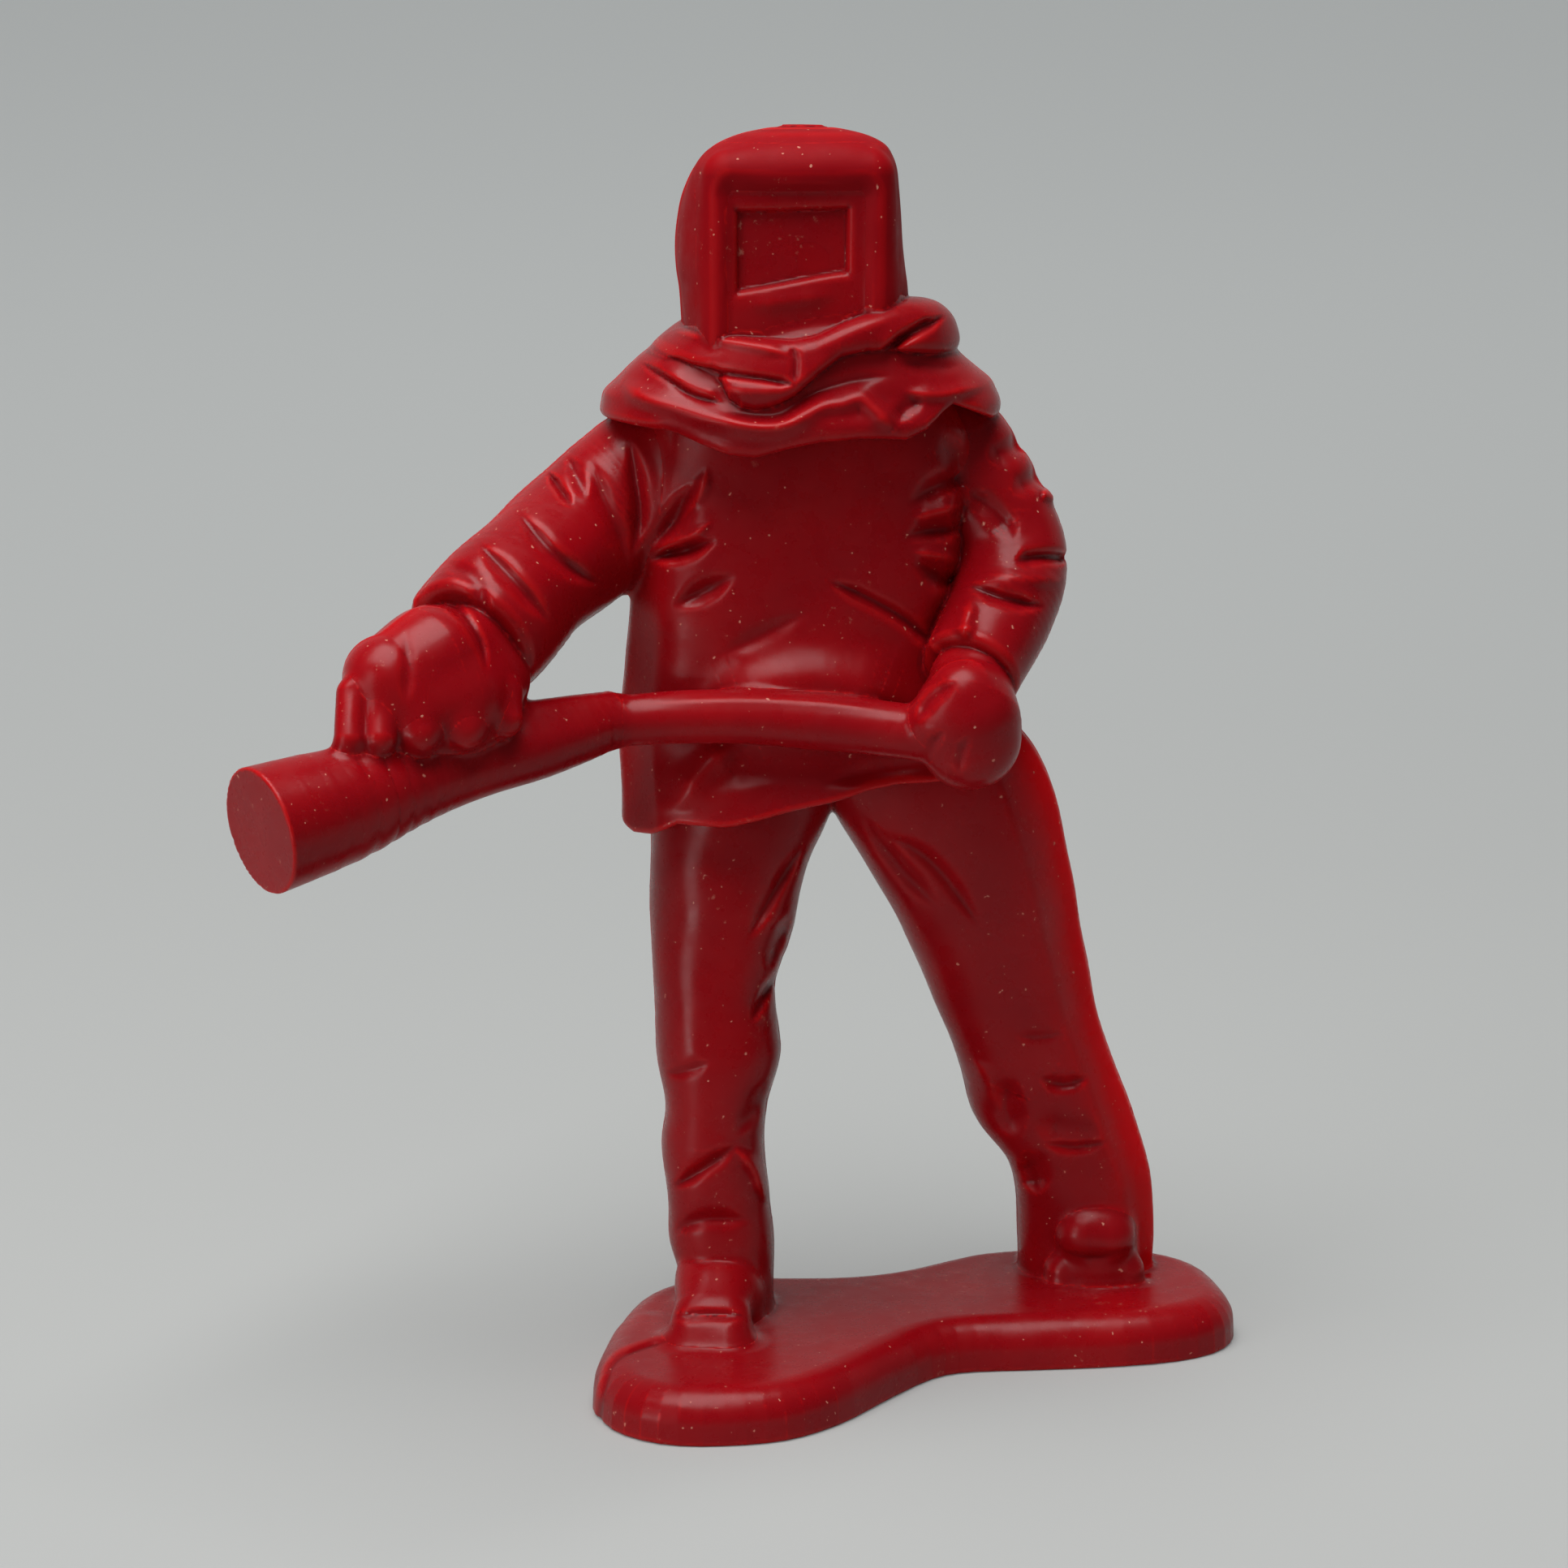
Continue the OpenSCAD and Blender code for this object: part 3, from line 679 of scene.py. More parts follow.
class Sculpt:
    """All pieces fused into one moulding and cut back into their own closed solids.

    A skin sinks past its dividing line at the slope and ends at the depth of the plug. The centre is
    the x of the figure's middle, from which the rim's outward side is told. Behind and glow are the
    width of the painted glow behind the parting line and its strength for each millimetre of its
    width in front; the painted glow is a lighter red that stands in for light shining through the
    plastic.
    """

    slope: ClassVar[float] = 0.6
    plug: ClassVar[float] = 0.45
    centre: ClassVar[float] = -5.2
    block: ClassVar[int] = 8
    spots_at_once: ClassVar[int] = 200000
    blocks_at_once: ClassVar[int] = 600
    points_at_once: ClassVar[int] = 60000
    behind: ClassVar[float] = 0.5
    glow: ClassVar[float] = 0.4
    outward: ClassVar[tuple[float, float]] = (-0.1, 0.3)

    def __init__(self, pieces: list[Piece]) -> None:
        """Keeps the pieces in the order in which they are fused."""
        self.pieces = pieces

    def fields(self, p: Array, wanted: list[int]) -> Array:
        """Works out the pieces' own fields at points.

        Args:
            p: Points, n by 3.
            wanted: Pieces near enough to matter.
        Returns:
            One row for each piece, FAR where it can't reach.
        """
        out = np.full((len(self.pieces), len(p)), FAR, np.float32)
        for i in wanted:
            piece = self.pieces[i]
            near = ((p > piece.low) & (p < piece.high)).all(1)
            if near.any():
                out[i, near] = piece.distance(p[near])
        return out

    def cell(self, p: Array, index: int, wanted: list[int]) -> Array:
        """The field of one piece cut out of the fused moulding.

        The fused field is a chain of soft minima. A piece keeps it where its own field is lowest;
        past the dividing line its skin sinks at a slope and ends on a hidden plug.

        Args:
            p: Points, n by 3.
            index: The piece.
            wanted: Pieces near enough to matter.
        Returns:
            The piece's field.
        """
        d = self.fields(p, wanted)
        fused = np.full(len(p), FAR, np.float32)
        for i in wanted:
            fused = smooth_min(fused, d[i], self.pieces[i].root)
        others = np.delete(d, index, 0).min(0)
        past = (d[index] - others) * 0.5
        return np.maximum(fused + self.slope * np.maximum(past, 0.0), past - self.plug)

    def neighbours(self, index: int) -> list[int]:
        """Pieces whose space overlaps a piece's own."""
        me = self.pieces[index]
        return [i for i, o in enumerate(self.pieces) if ((o.low < me.high) & (o.high > me.low)).all()]

    def sample(self, index: int, step: float) -> tuple[Array, Array]:
        """Samples a piece's field on a grid, block by block, in full only near the surface.

        A block is near it where the field at its middle is less than its half diagonal, with room
        for a field steeper than 1.

        Args:
            index: The piece.
            step: Grid spacing in millimetres.
        Returns:
            The field on the grid, and the place of the grid's first point.
        """
        piece, wanted, block = self.pieces[index], self.neighbours(index), self.block
        low = piece.low + piece.margin / 2
        count = np.ceil((piece.high - piece.low - piece.margin) / (step * block)).astype(int) + 1
        spots = np.stack(np.meshgrid(*[np.arange(n) for n in count], indexing="ij"), -1).reshape(-1, 3)
        centre = (low + (spots + 0.5 - 0.5 / block) * block * step).astype(np.float32)
        parts = np.array_split(centre, len(centre) // self.spots_at_once + 1)
        coarse = np.concatenate([self.cell(c, index, wanted) for c in parts])
        half_diagonal, steepest, spare = block * step * 0.87, 1.7, 0.35
        live = np.abs(coarse) < half_diagonal * steepest + spare
        values = np.repeat(np.where(coarse < 0, -FAR, FAR).astype(np.float32), block**3)
        values = values.reshape(-1, block, block, block)
        inner = np.stack(np.meshgrid(*[np.arange(block)] * 3, indexing="ij"), -1).reshape(-1, 3)
        chosen = np.flatnonzero(live)
        for part in np.array_split(chosen, len(chosen) // self.blocks_at_once + 1):
            nodes = spots[part][:, None, :] * block + inner[None]
            p = (low + nodes.reshape(-1, 3) * step).astype(np.float32)
            values[part] = self.cell(p, index, wanted).reshape(-1, block, block, block)
        grid = values.reshape(*count, block, block, block).transpose(0, 3, 1, 4, 2, 5)
        return np.pad(grid.reshape(*(count * block)), 1, constant_values=FAR), low - step

    def mesh(self, index: int, step: float) -> Skin:
        """Meshes one piece: sampled field, surface net, then two steps onto the surface.

        Args:
            index: The piece.
            step: Grid spacing in millimetres.
        Returns:
            The skin.
        """
        piece, wanted = self.pieces[index], self.neighbours(index)
        points, quads = surface_net(*self.sample(index, step), step)
        points, normals, bend = self.settle(points.astype(np.float32), index, wanted, step)
        deep = points[:, 1] - piece.form.measure(points)[1]
        # The rim is the mask of the painted glow, a lighter red that stands in for light shining through the
        # plastic.
        rim = np.exp(-((deep / np.where(deep < 0.0, piece.painted_glow, self.behind)) ** 2)) * (piece.seam > 0)
        outer = normals[:, 0] * np.sign(points[:, 0] - self.centre)
        rim = rim * eased(outer, *self.outward) * min(self.glow * piece.painted_glow, 1.0)
        return Skin(points, quads, normals, bend, rim)

    def settle(self, points: Array, index: int, wanted: list[int], step: float) -> tuple[Array, Array, Array]:
        """Moves points onto the zero level by Newton steps and reads normal and curvature there.

        The gradient and the Laplacian come from the same six central differences, and the curvature
        is the Laplacian over the gradient's length.

        Args:
            points: Points near the surface.
            index: The piece.
            wanted: Pieces near enough to matter.
            step: Grid spacing.
        Returns:
            Settled points, unit normals, curvature (positive on edges, negative in creases).
        """
        reach, longest, least = 0.35 * step, 0.6 * step, 0.05
        shifts = np.concatenate([np.eye(3), -np.eye(3)]).astype(np.float32) * reach
        normals = np.zeros_like(points)
        bend = np.zeros(len(points), np.float32)
        for part in np.array_split(np.arange(len(points)), len(points) // self.points_at_once + 1):
            p = points[part]
            for _ in range(2):
                at = self.cell(p, index, wanted)
                around = self.cell((p[None] + shifts[:, None]).reshape(-1, 3), index, wanted).reshape(6, -1)
                slope = ((around[:3] - around[3:]) / (2 * reach)).T
                size = np.maximum((slope**2).sum(1), least)
                move = np.clip(at / size, -longest, longest)
                p = p - move[:, None] * slope
            points[part] = p
            normals[part] = slope / np.sqrt(size)[:, None]
            bend[part] = (around.sum(0) - 6 * at) / (reach**2 * np.sqrt(size))
        return points, normals, bend


def surface_net(values: Array, low: Array, step: float) -> tuple[Array, Array]:
    """Joins the zero level of a field on a grid into quads.

    Each grid cell that the level crosses gets one point, the mean of the crossings on its twelve
    edges; each grid edge that is crossed gives a quad of the four cells round it.

    Args:
        values: The field on the grid.
        low: Place of the first grid point.
        step: Grid spacing.
    Returns:
        Points, n by 3, and quads, m by 4, facing outwards.
    """
    inside = values < 0
    size = np.array(values.shape) - 1
    some, every = np.zeros(size, bool), np.ones(size, bool)
    for i, j, k in np.ndindex(2, 2, 2):
        corner = inside[i:i + size[0], j:j + size[1], k:k + size[2]]
        some |= corner
        every &= corner
    cells = some & ~every
    number = np.full(size, -1, np.int64)
    place = np.argwhere(cells)
    number[cells] = np.arange(len(place))
    total, hits = np.zeros((len(place), 3)), np.zeros(len(place))
    for axis, j, k in np.ndindex(3, 2, 2):
        start = np.zeros(3, int)
        start[(axis + 1) % 3], start[(axis + 2) % 3] = j, k
        end = start.copy()
        end[axis] = 1
        a, b = (values[tuple((place + o).T)] for o in (start, end))
        crossed = (a < 0) != (b < 0)
        share = np.where(crossed, a / np.where(crossed, a - b, 1.0), 0.0)
        total += crossed[:, None] * (start + share[:, None] * (end - start))
        hits += crossed
    points = low + step * (place + total / hits[:, None])
    quads = []
    for axis in range(3):
        one, two = (axis + 1) % 3, (axis + 2) % 3
        first = np.take(inside, range(values.shape[axis] - 1), axis)
        second = np.take(inside, range(1, values.shape[axis]), axis)
        for flip, edge in ((False, first & ~second), (True, second & ~first)):
            node = np.argwhere(edge)
            ring = []
            for j, k in ((-1, -1), (0, -1), (0, 0), (-1, 0)):
                at = node.copy()
                at[:, one] += j
                at[:, two] += k
                ring.append(number[tuple(at.T)])
            quad = np.stack(ring, 1)
            quads.append(quad[:, ::-1] if flip else quad)
    return points, np.concatenate(quads)


# Sub-assemblies

@dataclass
class Stand:
    """The two-lobed base plate and the boots on it.

    The plan curve is given in shares of the plate's half length and half width.
    """

    half_long: float = 16.1
    half_wide: float = 11.5
    high: float = 2.5
    top_round: float = 1.55
    shares: Rows = (
        (-.985, -.56), (-.93, -.82), (-.79, -.98), (-.6, -1.0), (-.42, -.94), (-.27, -.77), (-.12, -.49),
        (.02, -.235), (.16, -.145), (.42, -.11), (.7, -.05), (.9, .09), (.975, .28), (.97, .5),
        (.92, .76), (.8, .93), (.62, 1.0), (.4, .995), (.2, .935), (.05, .8), (-.1, .66), (-.3, .59),
        (-.55, .59), (-.76, .53), (-.88, .36), (-.94, .1), (-.97, -.22))
    right_boot: Rows = (
        (-9.8, 1.5, 3.4, -9.9, -.6, 3.6, 2.2, 2.0), (-10.9, -.7, 4.7, -11.0, -3.1, 3.7, 1.3, 1.15),
        (-9.7, -.7, 4.7, -9.75, -3.2, 3.7, 1.3, 1.15), (-11.3, -4.1, 2.65, -9.7, -4.3, 2.65, 1.2, 1.2))
    right_fuse: float = 1.1
    left_boot: Rows = (
        (8.3, 4.75, 5.05, 9.3, 4.75, 5.05, 1.5, 1.5), (8.8, 5.2, 5.6, 8.8, 6.6, 5.9, 1.3, 1.5),
        (8.85, 7.6, 3.6, 8.85, 6.0, 4.6, 2.3, 1.7), (7.3, 4.9, 3.1, 10.3, 4.9, 3.1, 1.0, 1.0),
        (8.85, 5.2, 3.0, 8.9, 7.6, 3.2, 1.5, 1.8))
    left_fuse: float = .8
    base_folds: Folds = (
        Crease(((736, 1760), (743, 1716), (755, 1680), (780, 1664), (830, 1648)),
               .0, .35, lip=.22, lip_wide=1.2, fade=.15),
        Crease(((1405, 1533), (1435, 1541), (1470, 1562)), -.3, .22, fade=.5))
    right_folds: Folds = (
        Crease(((828, 1623), (872, 1620), (918, 1622)), .14, .26, fade=.3),
        Crease(((838, 1556), (880, 1548), (920, 1558)), .12, .35))
    left_folds: Folds = (
        Crease(((1304, 1541), (1350, 1548), (1396, 1539)), .1, .22, fade=.45),)

    def outline(self) -> Array:
        """The closed plan curve of the plate through its share points.

        Returns:
            Corners of the curve, n by 2, in millimetres.
        """
        steps, before = 3, 2
        pts = np.asarray(self.shares) * (self.half_long, self.half_wide)
        ring = np.vstack([pts[-before:], pts, pts[:before + 1]])
        return spline(ring, steps)[before * steps:(before + len(pts)) * steps]

    def pieces(self) -> list[Piece]:
        """Builds the plate and both boots.

        Returns:
            The pieces, in the order in which they are fused.
        """
        plate = Plate(self.outline(), self.high, self.top_round)
        right = Lumps(self.right_boot, self.right_fuse)
        left = Lumps(self.left_boot, self.left_fuse)
        return [
            Piece("base_plate", plate, root=0.0, creases=self.base_folds, seam=0.0, rough=.012),
            Piece("right_boot", right, root=1.0, creases=self.right_folds, seam=0.0),
            Piece("left_boot", left, root=.7, creases=self.left_folds, seam=0.0)]


@dataclass
class Trousers:
    """Both trouser legs, stacked from the widths that the front view shows."""

    right: Rows = (
        (1.6, -9.7, 1.2, 2.2, 2.7), (4.0, -9.75, 1.1, 2.3, 2.8), (6.0, -10.0, 1.1, 2.55, 2.9),
        (8.0, -10.1, 1.1, 2.45, 2.85), (11.0, -10.4, 1.1, 2.45, 2.9), (13.0, -10.2, 1.15, 2.5, 3.0),
        (15.5, -10.1, 1.3, 2.95, 3.15), (18.5, -10.3, 1.7, 2.9, 3.25), (21.0, -10.0, 2.1, 3.35, 3.5),
        (24.0, -9.7, 2.5, 3.7, 3.85), (27.0, -9.05, 2.85, 4.3, 4.2), (29.4, -8.6, 3.0, 4.8, 4.3))
    right_square: float = 2.3
    left: Rows = (
        (1.6, 8.6, 7.9, 3.4, 2.9), (4.5, 8.5, 7.5, 3.45, 2.95), (7.0, 8.35, 7.0, 3.45, 3.0),
        (8.8, 7.85, 6.7, 3.55, 3.05), (11.0, 6.7, 6.3, 4.0, 3.2), (13.5, 5.9, 5.9, 3.9, 3.35),
        (16.5, 4.8, 5.3, 3.9, 3.5), (20.0, 3.7, 4.6, 4.25, 3.8), (24.0, 2.3, 3.85, 4.9, 4.1),
        (28.0, 0.7, 3.2, 5.6, 4.4), (30.5, -0.4, 2.9, 5.5, 4.3), (32.5, -1.2, 2.8, 4.6, 4.1))
    left_square: float = 2.8
    left_flank: Rows = ((1, .64, .8, 38.0),)
    flank_round: float = .18
    right_folds: Folds = (
        Crease(((990, 1040), (966, 1080), (946, 1116), (920, 1160)), .3, .35, lip=.25, lip_wide=1.2),
        Crease(((975, 1125), (955, 1165), (946, 1200)), .3, .4),
        Crease(((956, 1200), (940, 1230), (925, 1262)), .25, .3, lip=.2),
        Crease(((818, 1322), (845, 1318), (876, 1308)), .14, .3, lip=.08),
        Crease(((826, 1464), (863, 1440), (908, 1410)), .3, .34, lip=.2, lip_wide=.9),
        Crease(((903, 1413), (929, 1441), (945, 1485)), -.3, .35),
        Crease(((945, 1330), (925, 1370), (905, 1400)), .2, .4),
        Crease(((828, 1522), (845, 1508), (875, 1500), (925, 1503)), .22, .4, lip=.12),
        Crease(((-11.5, 14.5), (-10.2, 15.3), (-8.6, 14.8)), .3, .35, face=Face.BACK),
        Crease(((-12.0, 17.0), (-10.4, 16.4), (-8.4, 17.2)), .25, .3, face=Face.BACK),
        Crease(((-12.0, 8.6), (-10.4, 7.8), (-8.8, 8.4)), .25, .3, face=Face.BACK),
        Crease(((-11.6, 25.6), (-9.6, 24.6), (-7.2, 25.2)), .25, .4, face=Face.BACK))
    left_folds: Folds = (
        Crease(((1062, 1004), (1088, 1040), (1115, 1074), (1160, 1122)), .3, .4),
        Crease(((1089, 1026), (1135, 1050), (1170, 1085), (1210, 1145)), .3, .4, lip=.15),
        Crease(((1250, 1276), (1280, 1277), (1312, 1272)), .14, .3, lip=.08),
        Crease(((1280, 1326), (1308, 1335), (1342, 1327)), .34, .34, lip=.14, lip_wide=.8),
        Crease(((1284, 1408), (1325, 1412), (1366, 1406)), .2, .3, lip=.2, lip_wide=.9),
        Crease(((1272, 1384), (1318, 1394), (1362, 1396)), .3, .65),
        Crease(((1262, 1418), (1275, 1445), (1279, 1472)), .42, .5),
        Crease(((1252, 1326), (1240, 1358), (1256, 1402)), .4, .65),
        Crease(((1196, 1300), (1215, 1330), (1232, 1372)), -.2, .4),
        Crease(((3.0, 15.6), (5.2, 16.2), (8.2, 15.4)), .3, .35, face=Face.BACK),
        Crease(((3.6, 13.4), (6.0, 14.2), (8.6, 13.2)), .25, .3, face=Face.BACK),
        Crease(((5.6, 7.6), (8.0, 6.8), (10.4, 7.4)), .25, .3, face=Face.BACK),
        Crease(((-1.0, 25.4), (2.0, 24.2), (5.4, 25.0)), .3, .4, face=Face.BACK))

    def pieces(self) -> list[Piece]:
        """Builds both legs with their folds.

        Returns:
            The pieces, in the order in which they are fused.
        """
        right = Levels(self.right, self.right_square)
        left = Levels(self.left, self.left_square, flanks=self.left_flank, flank_round=self.flank_round)
        return [
            Piece("right_trouser_leg", right, root=.3, creases=self.right_folds),
            # A wide painted glow down the left leg's outer flank, standing in for light shining through the
            # plastic.
            Piece("left_trouser_leg", left, root=.4, creases=self.left_folds, painted_glow=2.6)]


@dataclass
class Torso:
    """The jacket and its two sleeves."""

    jacket: Rows = (
        (25.6, -5.1, 2.6, 9.65, 6.3), (27.0, -5.1, 2.6, 9.65, 6.2), (28.2, -5.1, 2.6, 9.65, 5.9),
        (29.4, -5.25, 2.65, 9.55, 5.55), (30.6, -5.5, 2.75, 9.35, 5.2), (32.4, -5.85, 2.75, 8.92, 5.05),
        (34.2, -6.1, 2.65, 8.42, 4.95), (36.0, -6.16, 2.6, 8.22, 4.95), (37.5, -6.14, 2.5, 8.15, 4.95),
        (41.0, -6.0, 2.35, 8.05, 4.85), (44.6, -5.8, 2.1, 7.9, 4.6), (46.2, -5.9, 1.9, 7.5, 4.3),
        (48.0, -6.1, 1.7, 6.6, 4.0))
    square: float = 3.0
    flank: Rows = ((-1, .84, .7, 35.0),)
    flank_round: float = .12
    hem: Rows = (
        (-15.5, 27.2), (-14.6, 27.0), (-14.1, 26.75), (-13.2, 26.85), (-11.9, 27.5), (-9.6, 27.5),
        (-7.1, 28.1), (-4.75, 28.67), (-3.0, 29.2), (-1.46, 29.45), (1.38, 29.61), (2.9, 29.45),
        (5.5, 29.3))
    hem_back: Rows = (
        (-15.5, 27.9), (-11.5, 27.3), (-7.0, 27.6), (-2.5, 28.3), (1.5, 28.8), (5.5, 29.3))
    right_arm: Rows = (
        (-10.0, 2.4, 44.1, 3.2), (-12.6, 2.6, 43.5, 3.7), (-14.4, 2.3, 42.45, 3.6),
        (-15.9, 1.5, 41.35, 3.45), (-17.2, .2, 40.35, 3.35), (-18.7, -2.2, 39.25, 3.2),
        (-20.0, -4.2, 38.1, 3.32), (-20.9, -5.7, 37.15, 3.25), (-21.3, -6.4, 36.75, 3.0))
    left_arm: Rows = (
        (-.2, 2.4, 45.6, 2.6), (1.2, 2.7, 45.0, 2.6), (2.3, 2.7, 43.4, 2.65), (3.15, 2.5, 41.8, 2.68),
        (3.75, 2.1, 40.3, 2.7), (3.85, 1.3, 38.8, 2.7), (3.4, .2, 37.5, 2.58), (2.75, -1.1, 36.3, 2.45),
        (2.1, -2.2, 35.3, 2.4), (1.75, -2.9, 34.8, 2.4))
    cuff_round: float = .5
    jacket_folds: Folds = (
        Crease(((1000, 752), (945, 780), (880, 812)), .2, .4, fade=.4),
        Crease(((1160, 806), (1115, 766), (1067, 738), (1020, 716)),
               .42, .34, lip=.25, lip_wide=1.2, fade=.25),
        Crease(((850, 890), (930, 858), (1000, 844), (1070, 854), (1140, 880)), -1.2, 1.6, fade=.3),
        Crease(((866, 590), (845, 622), (825, 648), (800, 672)), .8, .5, fade=.45),
        Crease(((885, 665), (845, 678), (798, 690)), .75, .38, fade=.45),
        Crease(((908, 708), (868, 728), (828, 750)), .6, .45, fade=.45),
        Crease(((872, 574), (864, 600), (838, 645)), -.35, .3),
        Crease(((880, 640), (850, 662), (815, 676)), -.2, .25),
        Crease(((1196, 584), (1155, 600), (1118, 624)), .6, .48, fade=.45),
        Crease(((1122, 640), (1155, 632), (1188, 622)), -.28, .34),
        Crease(((1198, 652), (1155, 652), (1112, 664)), .6, .45, fade=.45),
        Crease(((1122, 680), (1150, 684), (1186, 692)), -.25, .3),
        Crease(((1196, 722), (1160, 712), (1124, 692)), .6, .48, fade=.45),
        Crease(((1158, 528), (1176, 566), (1184, 622)), .5, .6),
        Crease(((1186, 600), (1188, 660), (1180, 715), (1156, 770), (1146, 810)), .5, .5, fade=.2),
        Crease(((912, 912), (868, 948), (828, 996)), -.6, .7),
        Crease(((800, 1000), (870, 985), (960, 965)), -.15, .5),
        Crease(((1010, 968), (1080, 950), (1160, 940)), .25, .4),
        Crease(((-13.0, 34.0), (-9.5, 33.0), (-6.0, 33.6)), .35, .4, face=Face.BACK),
        Crease(((-4.0, 34.4), (-1.0, 33.2), (2.0, 34.0)), .35, .4, face=Face.BACK),
        Crease(((-12.6, 41.5), (-10.2, 39.4), (-9.0, 36.6)), .35, .35, face=Face.BACK),
        Crease(((.8, 41.6), (-1.4, 39.6), (-2.4, 36.8)), .35, .35, face=Face.BACK),
        Crease(((-9.0, 31.2), (-5.4, 30.4), (-1.6, 31.0)), .25, .5, face=Face.BACK))
    right_folds: Folds = (
        Crease(((674, 580), (690, 603), (706, 626)), .28, .22),
        Crease(((636, 628), (676, 676), (708, 702), (745, 722)), .34, .4, lip=.2, lip_wide=1.0),
        Crease(((588, 668), (626, 706), (652, 735), (678, 768)), .34, .38, lip=.2, lip_wide=1.0),
        Crease(((728, 565), (742, 612), (762, 660), (772, 705)), .32, .42),
        Crease(((776, 540), (784, 589), (788, 635), (778, 690)), .45, .42, lip=.2),
        Crease(((700, 560), (712, 590), (722, 615)), .18, .3),
        Crease(((545, 690), (585, 715), (600, 760)), .2, .4),
        Crease(((-15.0, 45.0), (-16.0, 42.4), (-16.6, 39.6)), .3, .3, face=Face.BACK),
        Crease(((-17.4, 43.2), (-18.4, 40.8), (-18.8, 38.2)), .3, .3, face=Face.BACK),
        Crease(((-12.4, 45.8), (-13.4, 43.0), (-13.2, 40.4)), .3, .35, face=Face.BACK))
    left_folds: Folds = (
        Crease(((1190, 606), (1215, 620), (1238, 644), (1250, 668)), .38, .5, lip=.1),
        Crease(((1250, 692), (1280, 686), (1322, 686)), .42, .32, lip=.15, fade=.25),
        Crease(((1192, 720), (1236, 736), (1288, 748)), .42, .36, lip=.28, lip_wide=1.0),
        Crease(((1266, 546), (1240, 555), (1216, 566)), .34, .5, fade=.3),
        Crease(((1300, 583), (1272, 591), (1246, 606)), .3, .46, fade=.3),
        Crease(((1320, 620), (1300, 612), (1282, 604)), -.25, .3, fade=.2),
        Crease(((1210, 708), (1260, 712), (1318, 716)), -.2, .4),
        Crease(((1188, 790), (1190, 762), (1198, 735)), -.3, .4),
        Crease(((1.0, 42.0), (3.0, 41.2), (5.4, 42.0)), .3, .3, face=Face.BACK),
        Crease(((1.6, 39.6), (3.8, 38.8), (6.2, 39.6)), .3, .3, face=Face.BACK))

    def pieces(self) -> list[Piece]:
        """Builds the jacket, then the sleeves, with the folds of each.

        Returns:
            The pieces, in the order in which they are fused.
        """
        jacket = Levels(self.jacket, self.square, flanks=self.flank, flank_round=self.flank_round,
                        below=self.hem, below_back=self.hem_back)
        right = Path(self.right_arm, flat_end=True, end_round=self.cuff_round)
        left = Path(self.left_arm, flat_end=True, end_round=self.cuff_round)
        return [
            # The jacket's flank gets a wide painted glow, standing in for light shining through the plastic.
            Piece("jacket", jacket, root=.12, creases=self.jacket_folds, painted_glow=2.0),
            Piece("right_sleeve", right, root=.7, creases=self.right_folds),
            Piece("left_sleeve", left, root=.3, creases=self.left_folds)]


